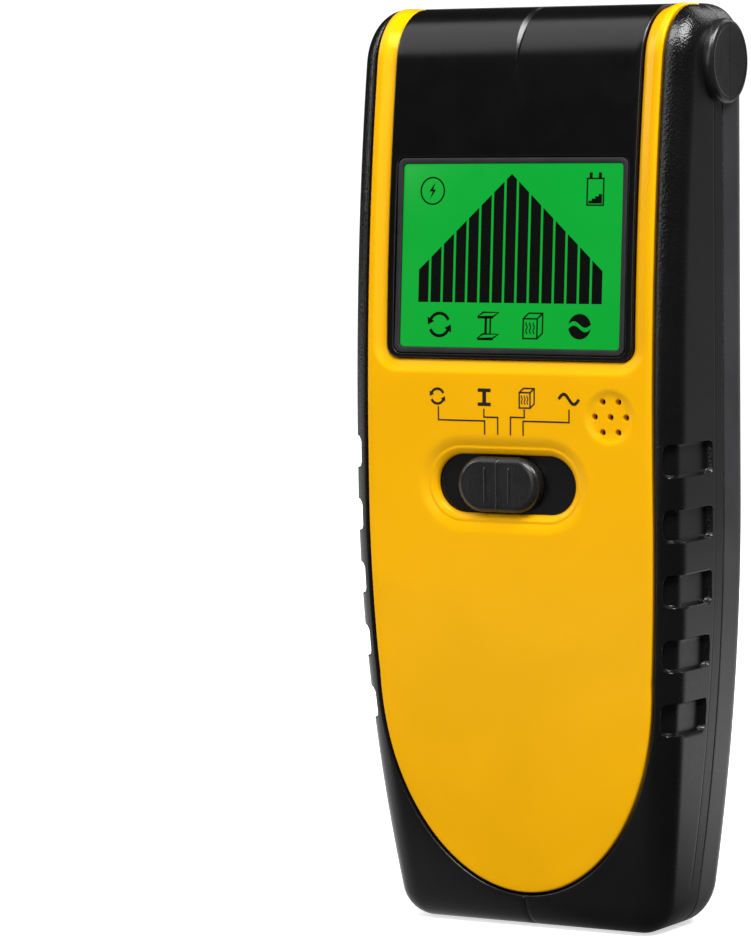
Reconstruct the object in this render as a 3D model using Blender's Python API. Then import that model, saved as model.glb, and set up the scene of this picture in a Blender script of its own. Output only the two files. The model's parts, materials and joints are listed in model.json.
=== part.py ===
"""A hand-held stud finder with a display, standing upright on its lower end.

World axes: +Z up along the body, -Y the display side, +Y the flat side that slides on the wall,
+X the right-hand side seen from the front. The origin is at the middle of the bottom.
Sizes are in millimetres. MM turns them into metres when a mesh is made.
"""

import math

import bmesh
import bpy
from mathutils import Matrix, Vector

MM = 0.001

# Body: a side profile with rounded ends, drawn in towards the bottom.
HEIGHT = 180.0
HALF_WIDTH = 35.9
TAPER = 7.0  # how far each side draws in by the bottom
TAPER_TOP = 85.0  # level where the sides start to draw in
FRONT = -16.1  # front-most point of the bowed front
BACK = 17.7  # flat sensing face
SEAM = 5.7  # parting plane of the two shells
BULGE_LEVEL = 98.0
BOW_RADIUS_UP = 500.0
BOW_RADIUS_DOWN = 720.0
NOSE_RADIUS = 12.0
TOE_RADIUS = 6.2
HEEL_RADIUS = 8.0
EDGE_RADIUS = 5.8  # between the profile and the side faces
GAP = 0.3  # between pieces that touch

# Shells
WALL = 2.0
SIDE_WALL = 2.2
FRONT_WALL = 4.0  # depth of the front shell's inner face, under the face plate
PLATE = 2.0  # thickness of the face plate
DISC_LEVEL = 168.75
DISC_RADIUS = 8.2
DISC_RISE = 1.8
POCKET_LEVELS = (92.9, 80.4, 67.9, 55.4, 43.0)
POCKET_HALF_HEIGHT = 3.0
POCKET_DEPTH = 1.2
POCKET_REACH = 2.65  # how far a pocket wraps onto the front, from the side face
POCKET_BACK = 0.6  # where a pocket ends, in Y
POST_ROOT = 0.8  # how far a post's foot reaches into the wall it stands on
FRONT_POST = 3.2  # radii of the screw posts
REAR_POST = 4.2
BOARD_POST = 2.6
STEM_SLOT_HALF_HEIGHT = 2.0
SOUND_HOLE = 4.1

# Face plate outline
PLATE_MARGIN = 4.65  # from the side of the body to the plate's edge
TOE_CENTRE = 50.0  # level where the plate's rounded lower end starts
TOE_HALF_WIDTH = 30.0
TOE_HALF_HEIGHT = 43.0

# Display
WINDOW_HALF_WIDTH = 27.0
WINDOW_BOTTOM = 111.8
WINDOW_CORNER = 2.0
LCD_LEVEL = 131.75
LCD_FACE = -14.64  # where the display's plane crosses LCD_LEVEL
LCD_TILT = math.radians(-3.85)  # leans back with the bow of the front
LCD_WIDTH = 48.2
LCD_HEIGHT = 35.7
BEZEL = 1.1  # width of the display's frame

# Mode switch: four positions along X, resting on the second
SLOT_CENTRE = -0.9
SLOT_HALF_LENGTH = 15.1
SLOT_HALF_HEIGHT = 5.75
SLOT_LEVEL = 87.45
KNOB_REST = -1.96
KNOB_HALF_LENGTH = 9.0
KNOB_HALF_HEIGHT = 5.4
KNOB_FACE = -16.9
KNOB_BASE = -14.05
MODE_STEP = 2.82
TRAVEL_LEFT = MODE_STEP
TRAVEL_RIGHT = 2 * MODE_STEP
STEM_HALF = 1.5
STEM_HALF_HEIGHT = 1.6
STEM_END = FRONT + 5.6
RIB_PITCH = 2.65
RIB_HALF = 0.3
RIB_REACH = 4.0
LEVER_HALF = 1.0
LEVER_START = STEM_END + GAP
LEVER_END = LEVER_START + 2.0
SWITCH_HALF_LENGTH = 11.0
SWITCH_HALF_HEIGHT = 3.5

# Sounder and its grille of seven holes
GRILLE_X = 22.3
GRILLE_LEVEL = 101.1
GRILLE_PITCH = 3.37
GRILLE_HOLE = 0.6
SOUNDER_RADIUS = 4.5
SOUNDER_START = FRONT + 4.5
SOUNDER_END = FRONT + 8.9

# Scan button, on the left side
SCAN_LEVEL = 112.0
SCAN_Y = -3.1
SCAN_HALF_DEPTH = 4.2
SCAN_HALF_HEIGHT = 8.7
SCAN_RISE = 0.6
SCAN_FLANGE = 1.0  # how far the flange reaches past the button
PLUNGER_RADIUS = 1.5
WELL_RADIUS = 1.8

# Boards
BOARD_FRONT = -6.7
BOARD_BACK = -5.1
BOARD_HALF_WIDTH = 24.0
BOARD_BOTTOM = 62.0
BOARD_TOP = 158.0
BOARD_SCREWS = ((-21.7, 71.0), (21.7, 71.0), (0.0, 155.3))
BOARD_TAB = 30.8  # reach of the tab that carries the scan switch
BOARD_TAB_HALF_HEIGHT = 12.0
CHIPS = {  # x, level, width, height, thickness, finish
    "processor": (0.0, 122.0, 12.0, 12.0, 1.5, "chip_black"),
    "amplifier_chip": (13.0, 140.0, 9.0, 5.0, 1.4, "chip_black"),
    "voltage_regulator": (10.0, 108.0, 6.5, 3.5, 1.6, "chip_black"),
    "crystal": (-13.0, 139.0, 11.0, 4.5, 3.5, "tin"),
    "calibration_trimmer": (16.0, 124.0, 6.6, 6.6, 5.0, "trimmer_blue"),
}
CAPACITORS = {  # x, level, radius, height
    "supply_capacitor": (-14.0, 91.5, 3.15, 7.0),
    "filter_capacitor": (14.0, 91.5, 2.5, 5.5),
}
SENSOR_FRONT = 11.9
SENSOR_BACK = 13.3
SENSOR_HALF_WIDTH = 24.0
SENSOR_BOTTOM = 94.0
SENSOR_TOP = 150.0
SENSOR_PLATES = {"left": (-22.0, -6.0), "middle": (-3.5, 3.5), "right": (6.0, 22.0)}
PLATE_BOTTOM = 100.0
PLATE_TOP = 146.0
COIL_LEVEL = 123.0
COIL_THICKNESS = 3.2
COIL_RADIUS = 14.0
COIL_HOLE = 9.0
CORE_RADIUS = 4.5

# Battery bay
BAY_HALF_WIDTH = 14.2
BAY_BOTTOM = 15.5
BAY_TOP = 77.5
BAY_FLOOR = -2.6
BAY_SIDE = 4.8  # thickness of the bay's walls
BAY_LOWER_WALL = 3.2
BAY_UPPER_WALL = 4.0
BAY_FLOOR_WALL = 1.4
LEAD_SLOT_LOW = (-5.0, 3.5, 76.0)
LEAD_SLOT_HIGH = (5.0, 8.5, 83.0)
LEAD_RADIUS = 0.75
DOOR_HALF_WIDTH = 17.1
DOOR_BOTTOM = 15.0
DOOR_TOP = 79.7
DOOR_THICKNESS = 1.6
DOOR_AXIS = Vector((0.0, BACK - DOOR_THICKNESS / 2, DOOR_BOTTOM))
DOOR_SWING_ROOM = 1.3  # room under the door's pivot
PEG_RADIUS = 0.5
PEG_END = 17.9
SOCKET_RADIUS = 0.8
SOCKET_END = 18.3
TONGUE_HALF = 6.0
TONGUE_LENGTH = 9.0
SLIT_HALF = 0.4

# Screws that hold the shells together, entered from the back
CASE_SCREWS = {
    "lower_left": (-23.9, 30.0),
    "lower_right": (23.9, 30.0),
    "upper_left": (-28.0, 159.0),
    "upper_right": (28.0, 159.0),
}
COUNTERBORE = 3.0
COUNTERBORE_DEPTH = 2.8
SCREW_CLEARANCE = 1.75
BOARD_SCREW_HOLE = 1.25
BOARD_CLEARANCE = 1.3

FAR = 60.0  # longer than any reach of a cutter

FINISHES = {
    "black_abs": ((0.016, 0.016, 0.018), 0.55, 0.0),
    "yellow_abs": ((0.80, 0.40, 0.008), 0.40, 0.0),
    "gloss_black": ((0.006, 0.006, 0.007), 0.10, 0.0),
    "frame_grey": ((0.030, 0.030, 0.034), 0.45, 0.0),
    "lcd_green": ((0.010, 0.42, 0.045), 0.25, 0.0),
    "milky": ((0.75, 0.78, 0.74), 0.45, 0.0),
    "board_green": ((0.010, 0.11, 0.035), 0.45, 0.0),
    "chip_black": ((0.012, 0.012, 0.012), 0.50, 0.0),
    "tin": ((0.62, 0.62, 0.60), 0.35, 1.0),
    "copper": ((0.80, 0.36, 0.16), 0.32, 1.0),
    "ferrite": ((0.035, 0.035, 0.038), 0.65, 0.0),
    "foam": ((0.05, 0.05, 0.055), 0.95, 0.0),
    "red_lead": ((0.50, 0.012, 0.010), 0.45, 0.0),
    "black_lead": ((0.012, 0.012, 0.012), 0.45, 0.0),
    "battery_jacket": ((0.05, 0.06, 0.07), 0.35, 0.6),
    "steel": ((0.50, 0.50, 0.50), 0.32, 1.0),
    "trimmer_blue": ((0.02, 0.08, 0.45), 0.45, 0.0),
}


def clear_scene():
    for old in list(bpy.data.objects):
        bpy.data.objects.remove(old, do_unlink=True)


def make_material(name):
    colour, roughness, metallic = FINISHES[name]
    material = bpy.data.materials.new(name)
    material.use_nodes = True
    shader = material.node_tree.nodes["Principled BSDF"]
    shader.inputs["Base Color"].default_value = (*colour, 1.0)
    shader.inputs["Roughness"].default_value = roughness
    shader.inputs["Metallic"].default_value = metallic
    return material


def add_object(name, mesh_builder, finish=None, origin=(0.0, 0.0, 0.0)):
    """An object from a bmesh in millimetres. With no finish it is a cutter, which isn't rendered."""
    start = Vector(origin)
    bmesh.ops.translate(mesh_builder, verts=mesh_builder.verts, vec=-start)
    bmesh.ops.scale(mesh_builder, verts=mesh_builder.verts, vec=(MM, MM, MM))
    bmesh.ops.recalc_face_normals(mesh_builder, faces=mesh_builder.faces)
    mesh = bpy.data.meshes.new(name)
    mesh_builder.to_mesh(mesh)
    mesh_builder.free()
    made = bpy.data.objects.new(name, mesh)
    made.location = start * MM
    bpy.context.collection.objects.link(made)
    if finish is None:
        made.hide_render = True
        made.display_type = "WIRE"
    else:
        mesh.materials.append(MATERIALS[finish])
    return made


def combine(target, other, operation):
    step = target.modifiers.new(f"{operation.lower()} {other.name}", "BOOLEAN")
    step.operation = operation
    step.solver = "EXACT"
    step.object = other


def cut(target, *cutters):
    for cutter in cutters:
        combine(target, cutter, "DIFFERENCE")


def join(target, *others):
    for other in others:
        combine(target, other, "UNION")


def keep(target, region):
    combine(target, region, "INTERSECT")


def round_edges(target, width, segments=2):
    step = target.modifiers.new("rounded edges", "BEVEL")
    step.width = width * MM
    step.segments = segments
    step.limit_method = "ANGLE"
    step.angle_limit = math.radians(40)


# ---- plain solids, as bmesh in millimetres ----


def add_box(builder, low, high):
    size = [b - a for a, b in zip(low, high)]
    middle = [(a + b) / 2 for a, b in zip(low, high)]
    matrix = Matrix.Translation(middle) @ Matrix.Diagonal((*size, 1.0))
    bmesh.ops.create_cube(builder, size=1.0, matrix=matrix)


def box(low, high):
    builder = bmesh.new()
    add_box(builder, low, high)
    return builder


TURN_TO = {
    "X": Matrix.Rotation(math.pi / 2, 4, "Y"),
    "Y": Matrix.Rotation(-math.pi / 2, 4, "X"),
    "Z": Matrix.Identity(4),
}


def add_rod(builder, axis, centre, radius, start, end, segments=20):
    """A cylinder along X, Y or Z from start to end. centre gives the other two coordinates in order."""
    middle = list(centre)
    middle.insert("XYZ".index(axis), (start + end) / 2)
    bmesh.ops.create_cone(
        builder,
        cap_ends=True,
        segments=segments,
        radius1=radius,
        radius2=radius,
        depth=end - start,
        matrix=Matrix.Translation(middle) @ TURN_TO[axis],
    )


def rod(axis, centre, radius, start, end, segments=20):
    builder = bmesh.new()
    add_rod(builder, axis, centre, radius, start, end, segments)
    return builder


def prism(outline, front, back):
    """The closed outline, as (x, z) points, carried from front to back along Y."""
    builder = bmesh.new()
    ring = [builder.verts.new((x, front, z)) for x, z in outline]
    face = builder.faces.new(ring)
    moved = bmesh.ops.extrude_face_region(builder, geom=[face])
    far_ring = [item for item in moved["geom"] if isinstance(item, bmesh.types.BMVert)]
    bmesh.ops.translate(builder, verts=far_ring, vec=(0.0, back - front, 0.0))
    return builder


def corner_arc(x, z, radius, start, steps=4):
    """Points of a quarter turn round (x, z), from the start angle in degrees."""
    angles = [math.radians(start + 90.0 * i / steps) for i in range(steps + 1)]
    return [(x + radius * math.cos(a), z + radius * math.sin(a)) for a in angles]


def rounded_rectangle(left, right, bottom, top, radius, steps=4):
    outline = corner_arc(left + radius, bottom + radius, radius, 180, steps)
    outline += corner_arc(right - radius, bottom + radius, radius, 270, steps)
    outline += corner_arc(right - radius, top - radius, radius, 0, steps)
    outline += corner_arc(left + radius, top - radius, radius, 90, steps)
    return outline


def slot_outline(centre, level, half_length, half_height, steps=6):
    """A slot with fully round ends."""
    radius = half_height - 0.01
    left, right = centre - half_length, centre + half_length
    return rounded_rectangle(
        left, right, level - half_height, level + half_height, radius, steps
    )


# ---- the body's own shape ----


def half_width(level):
    draw_in = max(0.0, 1.0 - level / TAPER_TOP)
    return HALF_WIDTH - TAPER * draw_in**2


def bow(level):
    """Y of the bowed front at this level."""
    rise = level - BULGE_LEVEL
    radius = BOW_RADIUS_UP if rise > 0 else BOW_RADIUS_DOWN
    return FRONT + rise * rise / (2 * radius)


def bow_angle(level):
    """Direction of the front's outward normal, in degrees: 180 is -Y, 90 is up, 270 is down."""
    rise = level - BULGE_LEVEL
    radius = BOW_RADIUS_UP if rise > 0 else BOW_RADIUS_DOWN
    return 180.0 - math.degrees(math.atan(rise / radius))


def profile_arc(centre, radius, start, end, steps):
    """(y, z, normal angle) along an arc of the side profile."""
    points = []
    for i in range(steps + 1):
        angle = start + (end - start) * i / steps
        turn = math.radians(angle)
        points.append(
            (
                centre[0] + radius * math.cos(turn),
                centre[1] + radius * math.sin(turn),
                angle,
            )
        )
    return points


def tangent_level(radius, towards_top):
    """Level where an end's arc meets the bowed front smoothly."""
    level = HEIGHT - radius if towards_top else radius
    for _ in range(6):
        lean = math.sin(math.radians(abs(180.0 - bow_angle(level))))
        level = (
            HEIGHT - radius * (1 - lean) if towards_top else radius * (1 - lean)
        )
    return level


def side_profile(end_steps=5, bow_steps=9):
    """The front and the back of the side profile, bottom to top, with as many points in each."""
    low = tangent_level(TOE_RADIUS, towards_top=False)
    high = tangent_level(NOSE_RADIUS, towards_top=True)
    low_angle, high_angle = bow_angle(low), bow_angle(high)
    toe_y = bow(low) - TOE_RADIUS * math.cos(math.radians(low_angle))
    nose_y = bow(high) - NOSE_RADIUS * math.cos(math.radians(high_angle))
    front = profile_arc((toe_y, TOE_RADIUS), TOE_RADIUS, 270.0, low_angle, end_steps)
    for i in range(1, bow_steps):
        level = low + (high - low) * i / bow_steps
        front.append((bow(level), level, bow_angle(level)))
    nose = (nose_y, HEIGHT - NOSE_RADIUS)
    front += profile_arc(nose, NOSE_RADIUS, high_angle, 90.0, end_steps)

    heel_y = BACK - HEEL_RADIUS
    back = profile_arc((heel_y, HEEL_RADIUS), HEEL_RADIUS, -90.0, 0.0, end_steps)
    for i in range(1, bow_steps):
        share = i / bow_steps
        level = HEEL_RADIUS + (HEIGHT - 2 * HEEL_RADIUS) * share
        back.append((BACK, level, 0.0))
    top = (heel_y, HEIGHT - HEEL_RADIUS)
    back += profile_arc(top, HEEL_RADIUS, 0.0, 90.0, end_steps)
    return front, back


def body_solid(inset=0.0, side_inset=None, edge_steps=4):
    """The whole body, drawn in all round by inset, or by side_inset at the two sides."""
    side_inset = inset if side_inset is None else side_inset
    radius = min(EDGE_RADIUS - side_inset, TOE_RADIUS - inset - 0.1)
    front, back = side_profile()
    builder = bmesh.new()
    turns = [math.pi / 2 * i / edge_steps for i in range(edge_steps + 1)]
    stations = [(-1, t) for t in reversed(turns)] + [(1, t) for t in turns]

    def row(y, z, angle):
        normal = (math.cos(math.radians(angle)), math.sin(math.radians(angle)))
        points = []
        for side, turn in stations:
            depth = inset + radius * (1 - math.cos(turn))
            level = z - depth * normal[1]
            reach = half_width(level) - side_inset - radius * (1 - math.sin(turn))
            points.append(
                builder.verts.new((side * reach, y - depth * normal[0], level))
            )
        return points

    front_rows = [row(*point) for point in front]
    back_rows = [row(*point) for point in back]
    loop = front_rows + back_rows[::-1]
    for here, after in zip(loop, loop[1:] + loop[:1]):
        for j in range(len(stations) - 1):
            builder.faces.new((here[j], here[j + 1], after[j + 1], after[j]))
    for edge in (0, -1):
        for k in range(len(front_rows) - 1):
            corners = (
                front_rows[k][edge],
                front_rows[k + 1][edge],
                back_rows[k + 1][edge],
                back_rows[k][edge],
            )
            builder.faces.new(corners)
    return builder


def plate_outline(grow=0.0):
    """The face plate seen from the front: a rounded toe, and sides that follow the body."""
    steps = 12
    right = []
    for i in range(steps + 1):
        turn = math.pi / 2 * i / steps
        right.append(
            (
                (TOE_HALF_WIDTH + grow) * math.sin(turn),
                TOE_CENTRE - (TOE_HALF_HEIGHT + grow) * math.cos(turn),
            )
        )
    for level in (57.0, 65.0, 75.0, TAPER_TOP, HEIGHT + 5.0):
        right.append((half_width(level) - PLATE_MARGIN + grow, level))
    left = [(-x, z) for x, z in reversed(right[1:])]
    return right + left


def window_outline(grow=0.0):
    """The display window seen from the front. It runs on over the top of the body."""
    edge = WINDOW_HALF_WIDTH + grow
    radius = WINDOW_CORNER + grow
    return rounded_rectangle(-edge, edge, WINDOW_BOTTOM - grow, HEIGHT + 5.0, radius)


def grille_points():
    """The middles of the sounder's seven holes: one hole and a ring of six."""
    points = [(GRILLE_X, GRILLE_LEVEL)]
    for i in range(6):
        turn = math.radians(60 * i)
        points.append(
            (
                GRILLE_X + GRILLE_PITCH * math.cos(turn),
                GRILLE_LEVEL + GRILLE_PITCH * math.sin(turn),
            )
        )
    return points


def front_half(name, margin=GAP / 2):
    return add_object(name, box((-FAR, -FAR, -FAR), (FAR, SEAM - margin, 4 * FAR)))


# ---- casings ----


def body_with_discs(name, finish):
    """The whole outer form, with the round boss that stands out of each side."""
    made = add_object(name, body_solid(), finish)
    for side in (-1, 1):
        reach = sorted((side * (HALF_WIDTH - 3.0), side * (HALF_WIDTH + DISC_RISE)))
        disc = rod("X", (SEAM, DISC_LEVEL), DISC_RADIUS, *reach, segments=32)
        join(made, add_object(f"{name} disc {side}", disc))
    return made


def pocket_cutter():
    """Five shallow finger pockets down each side, cut square to the body's surface."""
    builder = bmesh.new()
    for level in POCKET_LEVELS:
        inner = half_width(level) - POCKET_REACH
        low = level - POCKET_HALF_HEIGHT
        high = level + POCKET_HALF_HEIGHT
        for left, right in ((inner, FAR), (-FAR, -inner)):
            add_box(builder, (left, -FAR, low), (right, POCKET_BACK, high))
    made = add_object("finger pockets", builder)
    cut(made, add_object("pocket floor", body_solid(POCKET_DEPTH)))
    return made


def make_front_shell():
    shell = body_with_discs("front_shell", "black_abs")
    cut(shell, add_object("front cavity", body_solid(FRONT_WALL, SIDE_WALL)))
    for name, (x, level) in CASE_SCREWS.items():
        start = bow(level) + FRONT_WALL - POST_ROOT
        post = rod("Y", (x, level), FRONT_POST, start, SEAM + 1.0)
        join(shell, add_object(f"front post {name}", post))
    keep(shell, front_half("front side of the seam"))
    for i, (x, level) in enumerate(BOARD_SCREWS):
        start = bow(level) + FRONT_WALL - POST_ROOT
        post = rod("Y", (x, level), BOARD_POST, start, BOARD_FRONT - GAP)
        join(shell, add_object(f"board post {i}", post))

    recess = add_object("plate recess", prism(plate_outline(GAP), -FAR, FAR))
    cut(recess, add_object("recess floor", body_solid(PLATE + GAP)))
    cut(shell, recess, pocket_cutter(), lcd_opening("display opening", 0.8))

    stem_left = KNOB_REST - TRAVEL_LEFT - STEM_HALF - 0.4
    stem_right = KNOB_REST + TRAVEL_RIGHT + STEM_HALF + 0.4
    stem_low = (stem_left, -FAR, SLOT_LEVEL - STEM_SLOT_HALF_HEIGHT)
    stem_high = (stem_right, FRONT + 8.0, SLOT_LEVEL + STEM_SLOT_HALF_HEIGHT)
    cut(shell, add_object("stem slot", box(stem_low, stem_high)))
    sound = rod("Y", (GRILLE_X, GRILLE_LEVEL), SOUND_HOLE, -FAR, FRONT + 8.0)
    cut(shell, add_object("sound hole", sound))
    button_low = (-FAR, SCAN_Y - SCAN_HALF_DEPTH - GAP, SCAN_LEVEL - SCAN_HALF_HEIGHT - GAP)
    button_high = (-30.0, SCAN_Y + SCAN_HALF_DEPTH + GAP, SCAN_LEVEL + SCAN_HALF_HEIGHT + GAP)
    cut(shell, add_object("scan button opening", box(button_low, button_high)))
    for name, (x, level) in CASE_SCREWS.items():
        hole = rod("Y", (x, level), SCREW_CLEARANCE, BAY_FLOOR, FAR)
        cut(shell, add_object(f"front screw hole {name}", hole))
    for i, (x, level) in enumerate(BOARD_SCREWS):
        start = bow(level) + FRONT_WALL + POST_ROOT
        hole = rod("Y", (x, level), BOARD_SCREW_HOLE, start, FAR)
        cut(shell, add_object(f"board screw hole {i}", hole))


def make_rear_shell():
    shell = body_with_discs("rear_shell", "black_abs")
    cut(shell, add_object("rear cavity", body_solid(WALL, SIDE_WALL)))
    for name, (x, level) in CASE_SCREWS.items():
        post = rod("Y", (x, level), REAR_POST, SEAM - 1.0, BACK - 1.0)
        join(shell, add_object(f"rear post {name}", post))
    cut(shell, front_half("rear side of the seam", margin=-GAP / 2))

    half = BAY_HALF_WIDTH + BAY_SIDE
    bay_low = (-half, BAY_FLOOR - BAY_FLOOR_WALL, BAY_BOTTOM - BAY_LOWER_WALL)
    bay_high = (half, BACK - 1.0, BAY_TOP + BAY_UPPER_WALL)
    join(shell, add_object("bay walls", box(bay_low, bay_high)))
    inside_low = (-BAY_HALF_WIDTH, BAY_FLOOR, BAY_BOTTOM)
    inside_high = (BAY_HALF_WIDTH, FAR, BAY_TOP)
    ledge = BACK - DOOR_THICKNESS - GAP
    recess_low = (-DOOR_HALF_WIDTH - GAP, ledge, DOOR_BOTTOM - DOOR_SWING_ROOM)
    recess_high = (DOOR_HALF_WIDTH + GAP, FAR, DOOR_TOP + GAP)
    cut(
        shell,
        add_object("bay inside", box(inside_low, inside_high)),
        add_object("door recess", box(recess_low, recess_high)),
        add_object("lead slot", box(LEAD_SLOT_LOW, LEAD_SLOT_HIGH)),
    )
    sockets = rod("X", DOOR_AXIS.yz, SOCKET_RADIUS, -SOCKET_END, SOCKET_END, segments=12)
    cut(shell, add_object("door peg sockets", sockets))
    for name, (x, level) in CASE_SCREWS.items():
        hole = rod("Y", (x, level), SCREW_CLEARANCE, 0.0, FAR)
        bore = rod("Y", (x, level), COUNTERBORE, BACK - COUNTERBORE_DEPTH, FAR)
        cut(shell, add_object(f"rear screw hole {name}", hole))
        cut(shell, add_object(f"counterbore {name}", bore))


def make_face_plate():
    plate = add_object("face_plate", body_solid(), "yellow_abs")
    outline = prism(plate_outline(), -FAR, SEAM - GAP / 2)
    keep(plate, add_object("plate region", outline))
    cut(plate, add_object("plate back", body_solid(PLATE)))
    opening = prism(window_outline(GAP), -FAR, FAR)
    slot = slot_outline(SLOT_CENTRE, SLOT_LEVEL, SLOT_HALF_LENGTH, SLOT_HALF_HEIGHT)
    cut(
        plate,
        add_object("window opening", opening),
        add_object("knob slot", prism(slot, -FAR, 0.0)),
    )
    holes = bmesh.new()
    for point in grille_points():
        add_rod(holes, "Y", point, GRILLE_HOLE, -FAR, 0.0, segments=10)
    cut(plate, add_object("grille holes", holes))


# ---- display ----


def lcd_box(name, reach, low, high, front, back, finish=None):
    """A box square to the display. Levels and depths are from the middle of its face."""
    builder = box((-reach, front, low), (reach, back, high))
    made = add_object(name, builder, finish)
    made.location = Vector((0.0, LCD_FACE, LCD_LEVEL)) * MM
    made.rotation_euler = (LCD_TILT, 0.0, 0.0)
    return made


def lcd_opening(name, grow):
    half_x = LCD_WIDTH / 2 + BEZEL + grow
    half_z = LCD_HEIGHT / 2 + BEZEL + grow
    return lcd_box(name, half_x, -half_z, half_z, -FAR, 12.0)


def make_display():
    window = add_object("display_window", body_solid(GAP), "gloss_black")
    region = prism(window_outline(), -FAR, SEAM - GAP / 2)
    keep(window, add_object("window region", region))
    cut(window, add_object("window back", body_solid(PLATE - 0.1)))
    cut(window, lcd_opening("window display opening", GAP))

    half_x = LCD_WIDTH / 2
    half_z = LCD_HEIGHT / 2
    outer_x = half_x + BEZEL
    outer_z = half_z + BEZEL
    bezel = lcd_box("lcd_bezel", outer_x, -outer_z, outer_z, 0.2, 2.2, "frame_grey")
    cut(bezel, lcd_box("bezel opening", half_x, -half_z, half_z, -5.0, 10.0))
    glass_x = half_x - GAP
    glass_z = half_z - GAP
    lcd_box("lcd_glass", glass_x, -glass_z, glass_z, 0.5, 2.1, "lcd_green")
    light_low = -half_z + 3.6
    lcd_box("lcd_backlight", glass_x, light_low, glass_z, 2.5, 5.4, "milky")
    strip_low = -half_z + 0.6
    strip_high = -half_z + 3.0
    lcd_box("lcd_connector", half_x - 3.0, strip_low, strip_high, 2.5, 8.4, "foam")


# ---- controls ----


def make_mode_switch():
    origin = (KNOB_REST, KNOB_BASE, SLOT_LEVEL)
    outline = slot_outline(KNOB_REST, SLOT_LEVEL, KNOB_HALF_LENGTH, KNOB_HALF_HEIGHT)
    knob = add_object(
        "mode_knob", prism(outline, KNOB_FACE, KNOB_BASE), "black_abs", origin
    )
    stem_low = (KNOB_REST - STEM_HALF, KNOB_BASE - 0.5, SLOT_LEVEL - STEM_HALF_HEIGHT)
    stem_high = (KNOB_REST + STEM_HALF, STEM_END, SLOT_LEVEL + STEM_HALF_HEIGHT)
    join(knob, add_object("knob stem", box(stem_low, stem_high)))
    for i in (-1, 0, 1):
        x = KNOB_REST + i * RIB_PITCH
        rib = box(
            (x - RIB_HALF, KNOB_FACE - RIB_HALF, SLOT_LEVEL - RIB_REACH),
            (x + RIB_HALF, KNOB_FACE + RIB_HALF, SLOT_LEVEL + RIB_REACH),
        )
        join(knob, add_object(f"knob rib {i}", rib))

    lever_low = (KNOB_REST - LEVER_HALF, LEVER_START, SLOT_LEVEL - LEVER_HALF)
    lever_high = (KNOB_REST + LEVER_HALF, LEVER_END, SLOT_LEVEL + LEVER_HALF)
    add_object("mode_switch_lever", box(lever_low, lever_high), "tin", origin)

    middle = KNOB_REST + (TRAVEL_RIGHT - TRAVEL_LEFT) / 2
    body = add_object(
        "mode_switch_body",
        box(
            (middle - SWITCH_HALF_LENGTH, LEVER_START + 0.8, SLOT_LEVEL - SWITCH_HALF_HEIGHT),
            (middle + SWITCH_HALF_LENGTH, BOARD_FRONT - GAP, SLOT_LEVEL + SWITCH_HALF_HEIGHT),
        ),
        "tin",
    )
    room = LEVER_HALF + 0.4
    channel = box(
        (KNOB_REST - TRAVEL_LEFT - room, -FAR, SLOT_LEVEL - room),
        (KNOB_REST + TRAVEL_RIGHT + room, LEVER_END + GAP, SLOT_LEVEL + room),
    )
    cut(body, add_object("lever channel", channel))


def make_scan_button():
    inner = -HALF_WIDTH + SIDE_WALL + GAP
    origin = (inner, SCAN_Y, SCAN_LEVEL)
    cap = box(
        (-HALF_WIDTH - SCAN_RISE, SCAN_Y - SCAN_HALF_DEPTH, SCAN_LEVEL - SCAN_HALF_HEIGHT),
        (inner + 0.4, SCAN_Y + SCAN_HALF_DEPTH, SCAN_LEVEL + SCAN_HALF_HEIGHT),
    )
    button = add_object("scan_button", cap, "yellow_abs", origin)
    half_depth = SCAN_HALF_DEPTH + SCAN_FLANGE
    half_height = SCAN_HALF_HEIGHT + SCAN_FLANGE
    flange = box(
        (inner, SCAN_Y - half_depth, SCAN_LEVEL - half_height),
        (inner + 0.8, SCAN_Y + half_depth, SCAN_LEVEL + half_height),
    )
    join(button, add_object("scan button flange", flange))

    axle = (SCAN_Y + 1.3, SCAN_LEVEL)
    plunger = rod("X", axle, PLUNGER_RADIUS, -32.3, -29.4, segments=16)
    add_object("scan_switch_plunger", plunger, "chip_black", origin)
    body_low = (-30.6, BOARD_BACK + GAP, SCAN_LEVEL - 3.0)
    body_high = (-27.2, BOARD_BACK + GAP + 6.0, SCAN_LEVEL + 3.0)
    body = add_object("scan_switch_body", box(body_low, body_high), "tin")
    well = rod("X", axle, WELL_RADIUS, -FAR, -28.1, segments=16)
    cut(body, add_object("plunger well", well))


# ---- electronics ----


def make_main_board():
    edge = BOARD_HALF_WIDTH
    outline = [
        (-edge, BOARD_BOTTOM),
        (edge, BOARD_BOTTOM),
        (edge, BOARD_TOP),
        (-edge, BOARD_TOP),
        (-edge, SCAN_LEVEL + BOARD_TAB_HALF_HEIGHT),
        (-BOARD_TAB, SCAN_LEVEL + BOARD_TAB_HALF_HEIGHT),
        (-BOARD_TAB, SCAN_LEVEL - BOARD_TAB_HALF_HEIGHT),
        (-edge, SCAN_LEVEL - BOARD_TAB_HALF_HEIGHT),
    ]
    board = add_object("main_board", prism(outline, BOARD_FRONT, BOARD_BACK), "board_green")
    for i, (x, level) in enumerate(BOARD_SCREWS):
        hole = rod("Y", (x, level), BOARD_CLEARANCE, -FAR, FAR)
        cut(board, add_object(f"board hole {i}", hole))


def on_board(name, x, level, width, height, thickness, finish):
    """A rectangular component on the back of the main board."""
    base = BOARD_BACK + GAP
    builder = box(
        (x - width / 2, base, level - height / 2),
        (x + width / 2, base + thickness, level + height / 2),
    )
    return add_object(name, builder, finish)


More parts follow.
